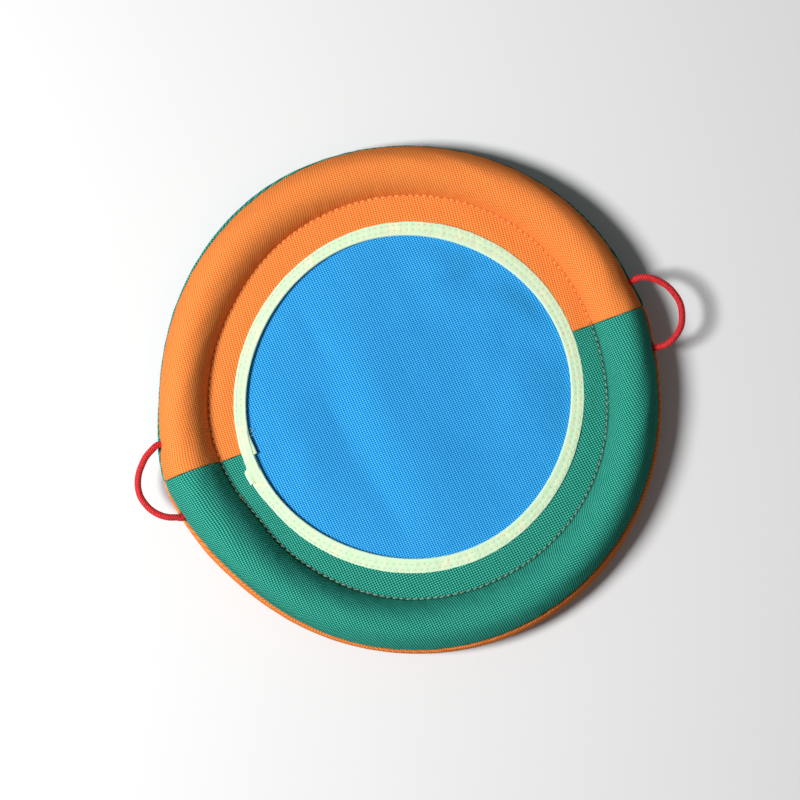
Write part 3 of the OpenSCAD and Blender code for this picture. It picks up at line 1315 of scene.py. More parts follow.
@dataclass
class RimCover:
    """One panel of cover cloth: half of one side of the rim."""

    name: str
    node: str
    slot: str
    side: Side
    half: Half
    material: Material
    form: RimForm = RIM
    rows: CoverRows = field(default_factory=CoverRows)
    relief: SewnRelief = SewnRelief()
    cord_slot: CordSlot = CordSlot(1.35 * MM)
    columns_per_stitch: int = 6
    cloth: float = 0.7 * MM
    roll_radius: float = 1.25 * MM
    seam_gap: float = 0.22 * MM
    tuck_depth: float = 2.2 * MM
    split_right: float = 3.6 * MM
    split_left: float = 2.7 * MM
    split_bulge: float = 0.9 * MM
    # Painted shade: along the crease, along the outer seam, and at the flange's needle holes.
    painted_crease_shade: Outline = Outline(0, unit=1.0)
    painted_seam_shade: float = 0.0
    painted_seam_reach: Outline = Outline(1.2)
    painted_hole_shade: float = 0.6
    mean_turn: float = math.radians(90)
    edge_steps: tuple[float, ...] = (0, 0.12, 0.28, 0.5, 0.8, 1.2)
    run_rows: tuple[int, ...] = (0, 4, 6, 8)
    puckers_after: int = 6

    def __post_init__(self) -> None:
        """Set up the ripples, the puckers and the painted shade of the cloth."""
        sign = self.side.value
        self.lumps = Ripples((5, 8, 13, 19, 27), 0.16, 11 * sign + 30)
        self.gathers = Ripples((31, 43, 58, 74, 93), 0.13, 7 * sign + 40)
        self.waves = Ripples((3, 7, 12, 17), 0.14, 5 * sign + 50)
        self.puckers = np.zeros((self.rows.count, len(self.columns)))
        self.painted_shades = np.zeros(0)

    @property
    def crease_mean(self) -> float:
        """The mean distance of the crease from the disc's axis."""
        return self.form.crease.mean * MM

    def split_turns(self, distance: Array, crest: Array) -> Pair:
        """Give the two angles at which the split seam crosses a circle round the axis.

        Args:
            distance: The circle's distance from the axis.
            crest: How near the row is to the crest of the tube, from 0 to 1.

        Returns:
            The angle on the right and the angle on the left.
        """
        right = np.arcsin(self.split_right / distance)
        left = math.pi - np.arcsin((self.split_left + self.split_bulge * crest) / distance)
        return right, left

    @cached_property
    def columns(self) -> Array:
        """The angle of each column where it crosses the crease."""
        distance = self.crease_mean
        ends = self.split_turns(np.array(distance), np.array(0.0))
        right, left = (float(value) for value in ends)
        first, last = (right, left) if self.half is Half.FAR else (left, right + TURN)
        edge = np.array(self.edge_steps) * MM / distance
        pitch = TURN / self.form.stitches / self.columns_per_stitch
        start = math.ceil((first + edge[-1]) / pitch) + 1
        stop = math.floor((last - edge[-1]) / pitch)
        return np.concatenate([first + edge, np.arange(start, stop) * pitch, last - edge[::-1]])

    def mean_section(self, kind: Array, share: Array) -> tuple[Array, ...]:
        """Find points on the mean section, for the split seam and the flat pattern.

        Args:
            kind: The part of the section that each point is on.
            share: The share of the way over that part.

        Returns:
            The distance from the axis, the way round the tube from the crease, and how near
            the point is to the crest of the tube.
        """
        form, length, arc = self.form, self.form.crease_angle, self.form.half_height
        flange, opening = kind == Part.FLANGE, form.opening.mean
        reach = (length - float(form.seam_angle(np.array([self.mean_turn]))[0])) * arc
        along = np.where(flange, 0, np.where(kind == Part.TUBE, share, 1)) * reach
        angle = length - along / arc
        out = form.skin.at(1 - np.maximum(angle, 0) / length)[0]
        on_flange = (opening + (form.crease.mean - opening) * share) * MM
        on_tube = self.crease_mean + (form.outside.mean - form.crease.mean) * MM * out
        crest = np.where(flange, 0, np.maximum(0, np.sin(angle)))
        return np.where(flange, on_flange, on_tube), along, crest

    def turn_at(self, at_crease: Array, distance: Array, crest: Array) -> Array:
        """Give the angle round the disc of points of a column, which follow the split seam."""
        bent = self.split_turns(distance, crest)
        plain = self.split_turns(np.full_like(distance, self.crease_mean), np.zeros_like(crest))
        first, last = (turn - start for turn, start in zip(bent, plain))
        if self.half is Half.NEAR:
            first, last = last, first
        part = (at_crease - self.columns[0]) / (self.columns[-1] - self.columns[0])
        return at_crease + first * (1 - part) + last * part

    def over_tube(self, turn: Array, kind: Array, share: Array) -> tuple[Array, ...]:
        """Place points beyond the crease by their distance from the outer seam.

        Args:
            turn: The angle round the disc.
            kind: The part of the section that each point is on.
            share: The share of the way over that part, or the angle of roll.

        Returns:
            The angle round the tube, the distances from the crease and from the seam, and the
            depth inside the tube's skin.
        """
        form, sign, arc, roll = self.form, self.side.value, self.form.half_height, self.roll_radius
        seam, start = form.seam_angle(turn), sign * form.crease_angle
        angle = start + (seam + sign * roll / arc - start) * share
        rolling = kind == Part.ROLL
        width = np.where(rolling, roll * (1 - np.sin(share)), 0.0) + self.seam_gap
        depth = np.where(rolling, roll * (1 - np.cos(share)), roll + self.tuck_depth * share)
        depth = np.where(kind == Part.TUBE, 0, depth)
        from_seam = np.where(kind == Part.TUBE, np.abs(angle - seam) * arc, width)
        from_seam = from_seam + self.cord_slot.at(form, turn, from_seam)
        angle = seam + sign * from_seam / arc
        return angle, np.abs(start - angle) * arc, from_seam, depth

    def proud(self, turn: Array, angle: Array, from_crease: Array, from_seam: Array) -> Array:
        """Give how far small lumps and the gathers that the stitches draw in stand out."""
        relief = self.relief
        stitch = 0.5 - 0.5 * np.cos(self.form.stitches * turn)
        pulled = -relief.pulled * stitch * np.exp(-from_crease / relief.pulled_reach)
        drawn = self.gathers.at(turn) * np.exp(-from_crease / relief.gather_reach)
        drawn = drawn * (1 - np.exp(-from_crease / relief.gather_start))
        eased = self.gathers.at(turn + relief.eased_turn) * relief.eased
        eased = eased * np.exp(-from_seam / relief.eased_reach)
        up = np.sin(np.clip(self.form.crease_angle - np.abs(angle), 0, math.pi)) ** 2
        return pulled + drawn + eased + self.lumps.at(turn + relief.lump_twist * angle) * up

    def over_flange(self, turn: Array, share: Array) -> tuple[Array, ...]:
        """Place points of the flange, pressed down along the stitches.

        Args:
            turn: The angle round the disc.
            share: The share of the way from the opening to the crease.

        Returns:
            The distance from the axis, the height above the middle, the distance from the
            crease and the share of a needle hole.
        """
        form, relief = self.form, self.relief
        opening, crease = form.opening.at(turn), form.crease.at(turn)
        distance = opening + (crease - opening) * share
        gap = crease - distance
        off = distance - (crease - relief.hole_inset)
        hole = hole_bell(turn, form.stitches, distance, off, relief.hole_spread)
        pressed = relief.pressed * bell(gap / relief.pressed_reach) + relief.hole_depth * hole
        wavy = self.waves.at(turn + relief.wave_skew * gap) * step(gap, 0, relief.wave_from_crease)
        wavy = wavy * step(distance - opening, 0, relief.wave_from_opening)
        height = self.side.value * (form.flange_height(gap) - pressed + wavy)
        return distance, height, gap, hole

    def edge_sunk(self, at_crease: Array) -> Array:
        """Give how far the cloth rolls in at the split seam."""
        first, last = self.columns[[0, -1]]
        from_edge = np.minimum(at_crease - first, last - at_crease) * self.crease_mean
        rolled = np.clip(1 - from_edge / self.relief.edge_reach, 0, 1)
        rolled = np.minimum(rolled, self.relief.edge_most)
        return self.relief.edge_depth * (1 - np.sqrt(1 - rolled**2))

    def lay(self, u: Array, v: Array) -> Pair:
        """Lay the flat cloth on the rim, and keep where shade is painted on it."""
        form, sign, relief = self.form, self.side.value, self.relief
        column, row = nth(u, len(self.columns)), nth(v, self.rows.count)
        kind, share = (line[row] for line in self.rows.stations)
        flange, at_crease = kind == Part.FLANGE, self.columns[column]
        mean, along, crest = self.mean_section(kind, share)
        turn = self.turn_at(at_crease, mean, crest)
        angle, from_crease, from_seam, depth = self.over_tube(turn, kind, share)
        proud = self.proud(turn, angle, from_crease, from_seam) + self.puckers[row, column]
        on_tube = form.section(turn, angle, np.where(flange, 0, proud) - depth)
        *on_flange, gap, hole = self.over_flange(turn, share)
        distance, height = (np.where(flange, *pair) for pair in zip(on_flange, on_tube))
        sunk = self.edge_sunk(at_crease)
        distance = distance - np.where(flange, 0, sunk * np.cos(angle))
        height = height - np.where(flange, sign * sunk, sunk * np.sin(angle))
        height = np.maximum(form.middle + height, 0.0)
        # Painted shade: at the needle holes and along the crease on the flange, along the crease
        # and the outer seam on the tube, growing over the rolled-in edge, and full on the tucked
        # cloth in the seam's slit.
        painted_crease_shade = self.painted_crease_shade.at(turn)
        seam_shade = self.painted_seam_shade * bell(from_seam / self.painted_seam_reach.at(turn))
        self.painted_shades = np.select(
            [flange, kind == Part.TUBE, kind == Part.ROLL],
            [np.maximum(self.painted_hole_shade * hole, painted_crease_shade * bell(gap / relief.flange_shade_reach)),
             np.maximum(painted_crease_shade * bell(from_crease / relief.tube_shade_reach), seam_shade),
             relief.roll_painted_shade * step(share, *relief.roll_painted_shade_rise)],
            default=1,
        )
        flat = np.where(flange, mean, self.crease_mean + along + depth)
        return round_axis(distance, turn, height), round_axis(flat, turn, height)[:, :2]

    def fill_out(self) -> Array:
        """Run the padded part of the cover as cloth over a coarser grid.

        Returns:
            How far the puckers stand out at each of the cover's points.
        """
        kinds, columns = self.rows.stations[0], self.columns
        pitch = TURN / self.form.stitches / 2
        at_pitch = np.isclose(columns / pitch, np.rint(columns / pitch), rtol=0, atol=1e-6)
        at_pitch[[0, -1]] = True
        across = np.flatnonzero(at_pitch)
        every = np.arange(len(kinds))
        first, last = every[kinds == Part.FLANGE][-1], every[kinds == Part.ROLL][0]
        coarse = [first + skip for skip in self.run_rows]
        down = np.array([*coarse, *range(coarse[-1] + 2, last + 1)])
        u, v = np.meshgrid(across / (len(columns) - 1), down / (len(kinds) - 1))
        places = self.lay(u.ravel(), v.ravel())[0].reshape(*u.shape, 3)
        held = np.zeros(u.shape, dtype=bool)
        held[-1], held[:, 0], held[:, -1] = True, True, True
        held[0] = np.rint(columns[across] / pitch) % 2 == 1
        found = FillingOut(self.side).puckers(self.name + "_run", places, held)
        wide = np.array([np.interp(columns, columns[across], line) for line in found])
        full = np.array([np.interp(every, down, line, left=0, right=0) for line in wide.T]).T
        shown = step(every, first, first + self.puckers_after)
        return full * shown[:, None] * (every <= last)[:, None]

    def build(self) -> Piece:
        """Make the cover and put it in place of the plain solid."""
        self.puckers = self.fill_out()
        cover = lay_grid(self.name, len(self.columns) - 1, self.rows.count - 1, self.lay)
        keep_painted_shade(cover, self.painted_shades)
        face_up(cover, lambda middle, normal: normal.z * self.side.value)
        thicken(cover, self.cloth)
        cover.data.materials.append(self.material)
        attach(cover, "disc")
        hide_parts(self.node)
        return cover


@dataclass
class FoamRing:
    """The foam ring inside the covers, slit for the turned-in edges and the cords."""

    material: Material
    form: RimForm = RIM
    cord_slot: CordSlot = CordSlot(1.3 * MM)
    clear: float = 1.0 * MM
    slit: float = 0.95 * MM
    slit_depth: float = 3.6 * MM
    lowest: float = 1.0 * MM
    columns: int = 300
    round_rows: int = 44
    slit_rows: tuple[Range, ...] = (
        (-1, 0.3), (-1, 0.7), (-0.8, 1.0), (0.8, 1.0), (1, 0.7), (1, 0.3)
    )

    def build(self) -> Piece:
        """Make the ring."""
        form = self.form
        arc = form.half_height - self.clear
        edge = self.slit / arc
        around = [(angle, 0.0) for angle in np.linspace(edge, TURN - edge, self.round_rows)]
        inner = [(side * edge, deep) for side, deep in self.slit_rows]
        stations = np.array(around + inner + [around[0]])

        def lay(u: Array, v: Array) -> Pair:
            """Wrap the foam's skin round the ring."""
            turn = nth(u, self.columns + 1) / self.columns * TURN
            offset, deep = stations[nth(v, len(stations))].T
            signed = apart(offset, 0)
            parted = self.cord_slot.at(form, turn, signed * arc) / arc
            angle = form.seam_angle(turn) + signed + np.sign(signed) * parted
            distance, lift = form.section(turn, angle, -(self.clear + deep * self.slit_depth))
            height = np.maximum(form.middle + lift, self.lowest)
            pattern = np.stack([turn * distance, offset * arc], axis=1)
            return round_axis(distance, turn, height), pattern

        ring = lay_grid("foam_ring", self.columns, len(stations) - 1, lay, closed=True)
        ring.data.materials.append(self.material)
        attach(ring, "disc")
        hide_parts("foam_core")
        return ring


# ---- Centre panel --------------------------------------------------------------------------


@dataclass(frozen=True)
class Fold:
    """A soft fold of the panel: its middle, its way in degrees, and its reach along and across."""

    x: float
    y: float
    way: float
    along: float
    across: float
    height: float

    def at(self, x: Array, y: Array) -> Array:
        """Give the height that the fold adds at each point, in mm."""
        turn = math.radians(self.way)
        run = (x - self.x) * math.cos(turn) + (y - self.y) * math.sin(turn)
        side = (y - self.y) * math.cos(turn) - (x - self.x) * math.sin(turn)
        return self.height * np.exp(-((run / self.along) ** 2) - (side / self.across) ** 2)


@dataclass
class CentrePanel:
    """The woven panel, stretched between the two flanges."""

    material: Material
    radius: float = 91.2 * MM
    middle: float = 11.8 * MM
    cloth: float = 0.6 * MM
    cells: int = 160
    free_radius: float = 60.0
    held_radius: float = 73.0
    sunk: float = 0.4
    sunk_from: float = 65.0
    folds: tuple[Fold, ...] = (
        Fold(87.2, 41.7, 179, 60.0, 5.2, -2.64),
        Fold(59.8, 22.9, 168, 29.9, 9.8, 2.13),
        Fold(30.0, 45.9, 76, 21.4, 12.8, 1.98),
        Fold(-9.4, -4.7, 94, 60.0, 14.6, 1.92),
        Fold(-32.2, -5.7, 95, 30.1, 10.4, -1.90),
        Fold(53.6, 10.9, 151, 39.5, 9.2, -1.32),
        Fold(25.7, 29.8, 94, 60.0, 12.8, -1.27),
        Fold(48.8, -15.6, 104, 18.9, 14.5, 1.20),
        Fold(-54.4, -4.5, 93, 18.6, 8.0, 0.99),
        Fold(-5.8, -4.6, 72, 31.4, 12.9, -0.96),
        Fold(-30.5, 40.0, 102, 19.1, 4.4, -0.53),
        Fold(-57.9, -0.2, 32, 21.9, 8.2, -0.50),
        Fold(29.7, -33.4, 149, 55.5, 7.2, -0.50),
        Fold(-25.4, -42.0, 101, 22.9, 5.2, -0.49),
        Fold(10.1, 36.1, 73, 12.4, 7.4, 0.48),
        Fold(48.7, 7.1, 60, 33.4, 6.3, -0.38),
        Fold(-34.6, 4.6, 100, 9.4, 3.3, -0.37),
        Fold(22.7, -44.3, 109, 60.0, 8.2, -0.32),
    )

    def wrinkles(self, x: Array, y: Array) -> Array:
        """Give the panel's height above its plane, in mm."""
        total = sum((fold.at(x, y) for fold in self.folds), np.zeros_like(x))
        away = np.hypot(x, y)
        pinched = self.sunk * step(away, self.sunk_from, self.held_radius)
        return total * (1 - step(away, self.free_radius, self.held_radius)) - pinched

    def build(self) -> Piece:
        """Make the panel."""

        def lay(u: Array, v: Array) -> Pair:
            """Round the grid off to a disc and wrinkle it."""
            a, b = 2 * u - 1, 2 * v - 1
            x = a * np.sqrt(1 - b**2 / 2) * self.radius
            y = b * np.sqrt(1 - a**2 / 2) * self.radius
            z = self.middle + MM * self.wrinkles(x / MM, y / MM)
            return np.stack([x, y, z], axis=1), np.stack([x, y], axis=1)

        panel = lay_grid("woven_panel", self.cells, self.cells, lay)
        face_up(panel, lambda middle, normal: normal.z)
        thicken(panel, self.cloth, offset=0.0)
        panel.data.materials.append(self.material)
        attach(panel, "disc")
        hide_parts("centre_panel")
        return panel


# ---- Binding tape --------------------------------------------------------------------------


@dataclass(frozen=True)
class TapeSeam:
    """One row of stitches along the binding."""

    distance: Outline
    stitches: int

    def hole_share(self, turn: Array, distance: Array, spread: float) -> Array:
        """Give 1 at a needle hole, falling to 0 round it."""
        at = self.distance.at(turn)
        return hole_bell(turn, self.stitches, at, distance - at, spread)


@dataclass(frozen=True)
class TapeForm:
    """The run of the folded binding, for its whole length and for its lap."""

    edge: Outline
    fold: Outline
    seams: tuple[TapeSeam, ...]
    middle: float = 11.8 * MM
    top: float = 1.85 * MM
    cant: float = 0.45 * MM
    tape: float = 0.4 * MM
    circle: float = 76 * MM

    def holes(self, turn: Array, distance: Array, spread: float) -> Array:
        """Give 1 at each needle hole, falling to 0 round it."""
        return sum(seam.hole_share(turn, distance, spread) for seam in self.seams)

    def rows(self, turn: Array, distance: Array, spread: float) -> Array:
        """Give 1 along each row of stitches, falling to 0 beside it."""
        return sum(bell((distance - seam.distance.at(turn)) / spread) for seam in self.seams)


TAPE = TapeForm(
    edge=Outline(
        79.34,
        (Swell(1, 0.76, 86), Swell(2, 0.46, 34), Swell(3, 0.35, 55), Swell(4, 0.27, 0)),
        (Bulge(0.9, 189.5, 4.5),),
    ),
    fold=Outline(
        73.20, (Swell(1, 0.97, 100), Swell(2, 0.27, 179), Swell(3, 0.31, 60), Swell(4, 0.50, 3))
    ),
    seams=(
        TapeSeam(Outline(75.75, (Swell(1, 0.85, 92), Swell(2, 0.3, 20), Swell(3, 0.3, 58))), 170),
        TapeSeam(Outline(78.10, (Swell(1, 0.80, 88), Swell(2, 0.4, 30), Swell(3, 0.33, 56))), 175),
    ),
)


@dataclass
class BindingTape:
    """The tape folded round the raw edge of one opening, with its two stitched rows."""

    name: str
    node: str
    side: Side
    material: Material
    form: TapeForm = TAPE
    under: float = 0.3 * MM
    round_depth: float = 0.55 * MM
    press: float = 0.16 * MM
    press_spread: float = 0.5 * MM
    groove: float = 0.07 * MM
    groove_spread: float = 0.55 * MM
    hole_spread: float = 0.3 * MM
    edge_drop: float = 0.22 * MM
    edge_drop_over: float = 0.45 * MM
    shy: float = 0.4 * MM
    columns: int = 1040
    start: float = math.radians(181)
    leg: tuple[float, ...] = (
        0, 0.02, 0.06, 0.12, 0.18, 0.25, 0.33, 0.42, 0.5, 0.57, 0.64, 0.71, 0.78, 0.85, 0.93
    )
    fold_rows: int = 8
    lower: tuple[float, ...] = (0.08, 0.3, 0.6, 0.9)

    def build(self, laps: Sequence[Piece]) -> Piece:
        """Make the tape.

        Args:
            laps: The pieces where its ends overlap. Not used.

        Returns:
            The tape.
        """
        sign, form = self.side.value, self.form
        fold_half = (form.top + form.cant - self.under) / 2
        parts = (self.leg, np.radians(np.linspace(90, 270, self.fold_rows)), self.lower)
        kinds, shares = np.repeat(range(3), [len(part) for part in parts]), np.concatenate(parts)
        ragged = Ripples((23, 37, 59, 83, 131), 0.05, 3 * sign + 60)
        pillows = Ripples((29, 47, 71, 103), 0.06, 3 * sign + 70)
        holes: list[Array] = []

        def lay(u: Array, v: Array) -> Pair:
            """Fold the tape over the edge."""
            row = nth(v, len(kinds))
            kind, share = kinds[row], shares[row]
            turn = self.start + TURN * nth(u, self.columns + 1) / self.columns
            edge = form.edge.at(turn) + ragged.at(turn)
            bend = form.fold.at(turn) + self.round_depth
            r_leg = edge + (bend - edge) * share
            pressed = form.holes(turn, r_leg, self.press_spread)
            line = form.rows(turn, r_leg, self.groove_spread)
            drop = self.edge_drop * (1 - step(edge - r_leg, 0, self.edge_drop_over))
            z_leg = form.top + form.cant * share - self.press * pressed - self.groove * line
            z_leg = z_leg - drop + pillows.at(turn) * (1 - pressed)
            r_fold = bend + self.round_depth * np.cos(share)
            z_fold = self.under + fold_half + fold_half * np.sin(share)
            r_low = bend + (edge - self.shy - bend) * share
            run = (self.start + TURN * u) * form.circle
            w_fold = (edge - bend) + fold_half * (share - math.pi / 2)
            w_low = (edge - bend) * (1 + share) + fold_half * math.pi
            w_leg = edge - r_leg
            ways = (r_leg, r_fold, r_low), (z_leg, z_fold, self.under), (w_leg, w_fold, w_low)
            distance, height, width = (
                np.select([kind == 0, kind == 1], way[:2], way[2]) for way in ways
            )
            # Painted shade at the needle holes of the tape's two rows.
            holes.append(np.where(kind == 0, form.holes(turn, r_leg, self.hole_spread), 0))
            places = round_axis(distance, turn, form.middle + sign * height)
            return places, np.stack([run, width], axis=1)

        binding = lay_grid(self.name, self.columns, len(kinds) - 1, lay)
        keep_painted_shade(binding, np.minimum(holes[0], 1))
        shape = bmesh.new()
        shape.from_mesh(binding.data)
        bmesh.ops.remove_doubles(shape, verts=shape.verts, dist=TOUCHING)
        shape.to_mesh(binding.data)
        shape.free()
        core = form.middle + sign * (self.under + fold_half)
        face_up(binding, lambda middle, normal: normal.z * (middle.z - core))
        thicken(binding, form.tape)
        binding.data.materials.append(self.material)
        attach(binding, "disc")
        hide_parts(self.node)
        side = self.side.name.lower()
        return binding


@dataclass
class TapeLap:
    """The end of the tape that laps over its beginning, and the sliver that peeps out below.

    Angles are in degrees round the disc.
    """

    side: Side
    material: Material
    form: TapeForm = TAPE
    lap: Range = (168.5, 188.0)
    lap_cells: tuple[int, int] = (120, 16)
    skew: float = 0.7
    skew_rise: Range = (0.8, 1)
    flare: float = 1.65 * MM
    flare_rise: Range = (182.8, 183.9)
    flare_end: float = 0.5 * MM
    flare_end_rise: Range = (185.0, 188.0)
    lap_rise: Range = (168.5, 171.5)
    curl: float = 0.12 * MM
    curl_rise: Range = (187.0, 188.3)
    wear_and_highlight: float = 0.5 * MM
    worn_rise: Range = (184.0, 187.8)
    worn_across: Range = (0.20, 0.42)
    rows_rise: Range = (170, 172)
    row_depth: float = 0.10 * MM
    row_spread: float = 0.5 * MM
    lap_width: float = 6.3 * MM
    edge_inset: float = 0.1 * MM
    fold_inset: float = 0.35 * MM
    sunk: float = 0.08 * MM
    edge_soft: float = 0.18 * MM
    edge_soft_over: float = 0.08
    fold_soft: float = 0.30 * MM
    fold_soft_from: float = 0.9
    start: Range = (170.5, 179.4)
    start_cells: tuple[int, int] = (60, 6)
    start_width: float = 1.5 * MM
    start_top: float = 2.30
    start_fall: float = 0.45
    behind: float = 0.5 * MM
    peep: float = 0.10
    peep_gain: float = 1.15
    peep_rise: Range = (0.1, 0.95)

    def upper(self) -> Piece:
        """Make the upper layer, which ends in a cut edge that stands out."""
        form, sign, (first, last) = self.form, self.side.value, self.lap

        def lay(u: Array, v: Array) -> Pair:
            """Lay the upper layer on the lower one."""
            skew = self.skew * (0.5 - v) * step(u, *self.skew_rise)
            turn = np.radians(first + (last - first) * u + skew)
            degrees = np.degrees(turn)
            out = self.flare * step(degrees, *self.flare_rise)
            out = out - self.flare_end * step(degrees, *self.flare_end_rise)
            edge = form.edge.at(turn) + out - self.edge_inset
            distance = edge + (form.fold.at(turn) + self.fold_inset - edge) * v
            wear_and_highlight = step(degrees, *self.worn_rise) * step(v, *self.worn_across)
            lift = form.tape * step(degrees, *self.lap_rise)
            lift = lift + self.curl * step(degrees, *self.curl_rise) - self.wear_and_highlight * wear_and_highlight
            rows = form.rows(turn, distance, self.row_spread) * step(degrees, *self.rows_rise)
            soft = self.edge_soft * (1 - step(v, 0, self.edge_soft_over))
            soft = soft + self.fold_soft * step(v, self.fold_soft_from, 1)
            height = form.top + form.cant * v - self.sunk + lift - self.row_depth * rows - soft
            pattern = np.stack([turn * form.circle, v * self.lap_width], axis=1)
            return round_axis(distance, turn, form.middle + sign * height), pattern

        return self.dress("lap", self.lap_cells, lay)

    def sliver(self) -> Piece:
        """Make the beginning of the tape's fold, which shows inside the upper layer."""
        form, sign, (first, last) = self.form, self.side.value, self.start

        def lay(u: Array, v: Array) -> Pair:
            """Lay the sliver beside the fold."""
            turn = np.radians(first + (last - first) * u)
            peep = (self.peep + self.peep_gain * step(u, *self.peep_rise)) * MM
            distance = form.fold.at(turn) + self.behind - (self.behind + peep) * v
            height = (self.start_top - self.start_fall * v**2) * MM
            pattern = np.stack([turn * form.circle, v * self.start_width], axis=1)
            return round_axis(distance, turn, form.middle + sign * height), pattern

        return self.dress("start", self.start_cells, lay)

    def dress(self, what: str, cells: tuple[int, int], lay: Form) -> Piece:
        """Make a layer of the lap from its form, and finish it."""
        piece = lay_grid(f"{self.side.name.lower()}_tape_{what}", *cells, lay)
        face_up(piece, lambda middle, normal: normal.z * self.side.value)
        thicken(piece, self.form.tape)
        piece.data.materials.append(self.material)
        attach(piece, "disc")
        return piece


# ---- Thread --------------------------------------------------------------------------------


@dataclass(frozen=True)
class StitchShape:
    """One stitch, in mm: half its length, half its width and height, and how far its ends dip."""

    half_length: float
    half_width: float
    half_height: float
    dip: float
    yaw: float


@dataclass
class Stitching:
    """A row of single stitches, each a little off the even row."""

    side: Side
    distance: Outline
    count: int
    height: float
    shape: StitchShape
    seed: int
    span: Range = (0.0, TURN)
    middle: float = 11.8 * MM
    yaw_stray: float = 2.5
    length_stray: float = 0.04
    side_stray: float = 0.05

    def add_to(self, shape: bmesh.types.BMesh) -> None:
        """Add the row's stitches to a mesh."""
        draws = np.random.default_rng(self.seed)
        turns = np.arange(2 * self.count) * TURN / self.count
        turns = turns[(turns >= self.span[0]) & (turns < self.span[1])]
        height = self.middle + self.side.value * self.height
        for turn, distance in zip(turns, self.distance.at(turns)):
            stray = math.radians(self.shape.yaw + draws.normal(0, self.yaw_stray))
            yaw = turn + math.pi / 2 + stray
            stretch = 1 + draws.normal(0, self.length_stray)
            way = Vector((math.cos(yaw), math.sin(yaw), 0))
            beside = Vector((-way.y, way.x, 0))
            reach = distance + draws.normal(0, self.side_stray) * MM
            centre = Vector((reach * math.cos(turn), reach * math.sin(turn), height))
            made = bmesh.ops.create_uvsphere(shape, u_segments=6, v_segments=5, radius=1.0)
            for point in made["verts"]:
                side, rise, run = point.co
                along = self.shape.half_length * stretch * run
                out = self.shape.half_width * side
                up = self.shape.half_height * rise - self.shape.dip * run * run
                lifted = Vector((0, 0, self.side.value * up))
                point.co = centre + MM * (way * along + beside * out + lifted)


def sew(name: str, rows: Sequence[Stitching], material: Material) -> Piece:
    """Sew rows of stitches as one piece.

    Args:
        name: The piece's name.
        rows: The rows of stitches.
        material: The thread's finish.

    Returns:
        The stitches.
    """
    shape = bmesh.new()
    for row in rows:
        row.add_to(shape)
    bmesh.ops.recalc_face_normals(shape, faces=shape.faces)
    mesh = bpy.data.meshes.new(name)
    shape.to_mesh(mesh)
    shape.free()
    stitches = show(mesh, name)
    mesh.materials.append(material)
    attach(stitches, "disc")
    return stitches


@dataclass
class LooseThread:
    """A short end of thread or tape yarn that lies on the cloth."""

    name: str
    points: tuple[tuple[float, float, float], ...]
    radius: float
    material: Material
    spacing: float = 0.2 * MM
    sides: int = 6
    taper: float = 0.35

    def build(self) -> Piece:
        """Make the end, from points given as degrees round, mm from the axis and mm up."""
        turn, distance, height = np.array(self.points).T
        line = spline(MM * round_axis(distance, np.radians(turn), height), self.spacing)
        radius, thin = self.radius * MM, self.taper / length_of(line)
        piece = sweep(self.name, line, self.sides, lambda run, about: radius * (1 - thin * run))
        piece.data.materials.append(self.material)
        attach(piece, "disc")
        return piece


CREASE_STITCH = StitchShape(
    half_length=1.30, half_width=0.39, half_height=0.30, dip=0.28, yaw=11.0
)
TAPE_STITCH = StitchShape(half_length=1.22, half_width=0.20, half_height=0.16, dip=0.20, yaw=4.0)
CREASE_ROW = Outline(RIM.crease.mean - 0.42, RIM.crease.swells, RIM.crease.bulges)
CREASE_HEIGHT, TAPE_HEIGHT = 1.30 * MM, 1.90 * MM
CREASE_SPANS = {
    Half.FAR: (math.radians(2.3), math.radians(178.3)),
    Half.NEAR: (math.radians(178.3), math.radians(362.3)),
}
CREASE_SEED, TAPE_SEED = 21, 31


# ---- The whole disc ------------------------------------------------------------------------


def crease_stitches(side: Side, half: Half, material: Material) -> Piece:
    """Sew half of the row that closes the rim on one side."""
    row = Stitching(side, CREASE_ROW, RIM.stitches, CREASE_HEIGHT, CREASE_STITCH, CREASE_SEED,
                    CREASE_SPANS[half])
    return sew(f"{side.name.lower()}_{half.value}_crease_stitches", [row], material)


def tape_stitches(side: Side, material: Material) -> Piece:
    """Sew the two rows along one binding."""
    rows = [
        Stitching(side, seam.distance, seam.stitches, TAPE_HEIGHT, TAPE_STITCH, TAPE_SEED + k)
        for k, seam in enumerate(TAPE.seams)
    ]
    return sew(f"{side.name.lower()}_tape_stitches", rows, material)


def loose_ends(rust: Material, pale: Material) -> list[Piece]:
    """Lay the loose ends of thread and the frayed yarns of the tape."""
    ends = (
        (rust, "crease_thread_end", 0.34, (
            (188.0, 90.0, 13.4), (189.2, 89.2, 13.55), (190.4, 88.3, 13.6), (191.4, 87.7, 13.5))),
        (rust, "crease_thread_start", 0.30, (
            (339.2, 89.5, 13.1), (339.9, 90.4, 13.6), (341.0, 90.3, 13.5), (343.4, 90.1, 13.45),
            (346.0, 90.25, 13.5), (348.6, 90.0, 13.4), (351.2, 90.1, 13.3), (353.0, 89.9, 12.9))),
        (pale, "fray_a", 0.10, ((170.2, 73.6, 13.3), (170.6, 72.9, 13.2), (170.4, 72.0, 12.7))),
        (pale, "fray_b", 0.09, ((171.6, 73.5, 13.2), (171.0, 72.8, 13.1), (171.3, 72.2, 12.6))),
        (pale, "fray_c", 0.09, ((172.9, 73.5, 13.1), (172.7, 72.8, 12.9), (173.4, 72.4, 12.5))),
        (pale, "fray_d", 0.11, ((188.2, 79.6, 13.9), (188.9, 79.9, 13.7), (189.5, 79.7, 13.4))),
        (pale, "fray_e", 0.09, ((188.2, 78.0, 14.0), (188.8, 78.2, 13.9), (189.2, 78.1, 13.7))),
    )
    return [LooseThread(name, points, radius, thread).build()
            for thread, name, radius, points in ends]


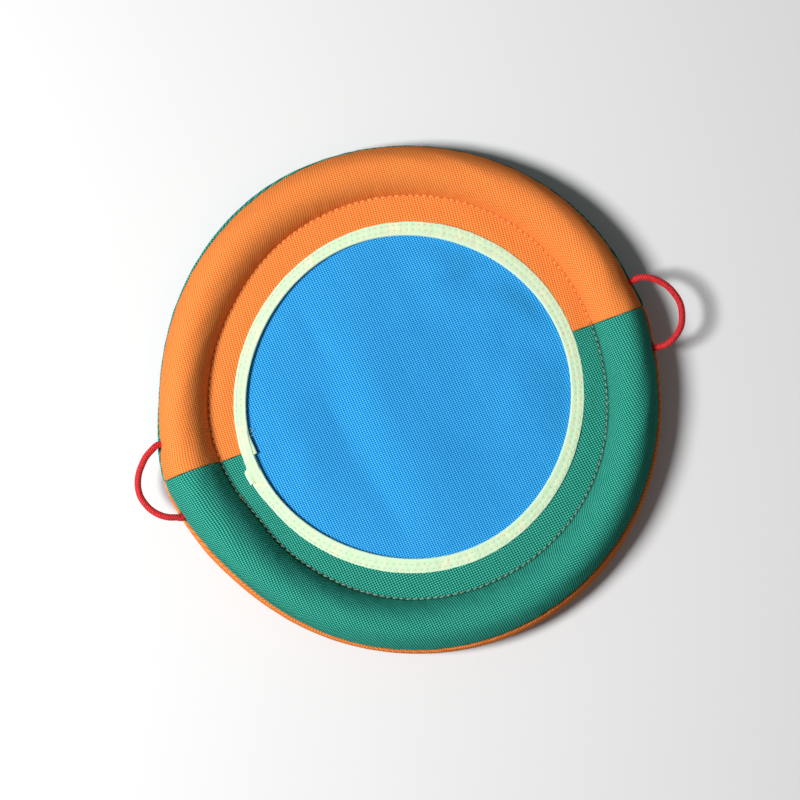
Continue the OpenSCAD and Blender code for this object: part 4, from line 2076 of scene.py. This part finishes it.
def main() -> None:
    """Build the studio, then the disc from its cords inwards."""
    Studio().build()
    red = RED_CORD.make()
    for route in (RIGHT_ROUTE, LEFT_ROUTE):
        LOG.info("cord loop %s", CordLoop(route, red).build().name)
    orange, green, blue = ORANGE_CLOTH.make(), GREEN_CLOTH.make(), BLUE_CLOTH.make()
    tape, pale = BINDING_TAPE.make(), PALE_THREAD.make()
    orange_thread, grey_thread, rust_thread = (
        finish.make() for finish in (ORANGE_THREAD, GREY_THREAD, RUST_THREAD)
    )
    covers = (
        RimCover("orange_top_cover", "top_cover_orange", "orange_cloth",
                 Side.TOP, Half.FAR, orange),
        RimCover("green_top_cover", "top_cover_green", "green_cloth",
                 Side.TOP, Half.NEAR, green,
                 # Painted shade along the green top cover's crease, darker near 212 degrees, along
                 # its outer seam, and at its needle holes.
                 painted_crease_shade=Outline(0.6, (), (Bulge(0.4, 212, 24),), unit=1.0), painted_seam_shade=0.6,
                 painted_seam_reach=Outline(1.2, (), (Bulge(2.2, 212, 18),)), painted_hole_shade=1.0),
        RimCover("green_bottom_cover", "bottom_cover_green", "green_cloth",
                 Side.BOTTOM, Half.FAR, green),
        RimCover("orange_bottom_cover", "bottom_cover_orange", "orange_cloth",
                 Side.BOTTOM, Half.NEAR, orange,
                 # Painted shade along the orange bottom cover's outer seam, wider near 198 degrees.
                 painted_seam_shade=0.6, painted_seam_reach=Outline(1.1, (), (Bulge(0.8, 198, 12),))),
    )
    for cover in covers:
        LOG.info("cover %s", cover.build().name)
    LOG.info("foam %s", FoamRing(WHITE_FOAM.make()).build().name)
    for side, name, node in ((Side.TOP, "top_tape", "top_binding"),
                             (Side.BOTTOM, "bottom_tape", "bottom_binding")):
        lap = TapeLap(side, tape)
        binding = BindingTape(name, node, side, tape).build((lap.upper(), lap.sliver()))
        LOG.info("binding %s", binding.name)
        for half in Half:
            thread = orange_thread if (half is Half.FAR) == (side is Side.TOP) else grey_thread
            LOG.info("stitches %s", crease_stitches(side, half, thread).name)
        LOG.info("stitches %s", tape_stitches(side, pale).name)
    LOG.info("panel %s", CentrePanel(blue).build().name)
    for end in loose_ends(rust_thread, pale):
        LOG.info("loose end %s", end.name)

if __name__ == "__main__":
    logging.basicConfig(level=logging.INFO, format="%(message)s")
    main()
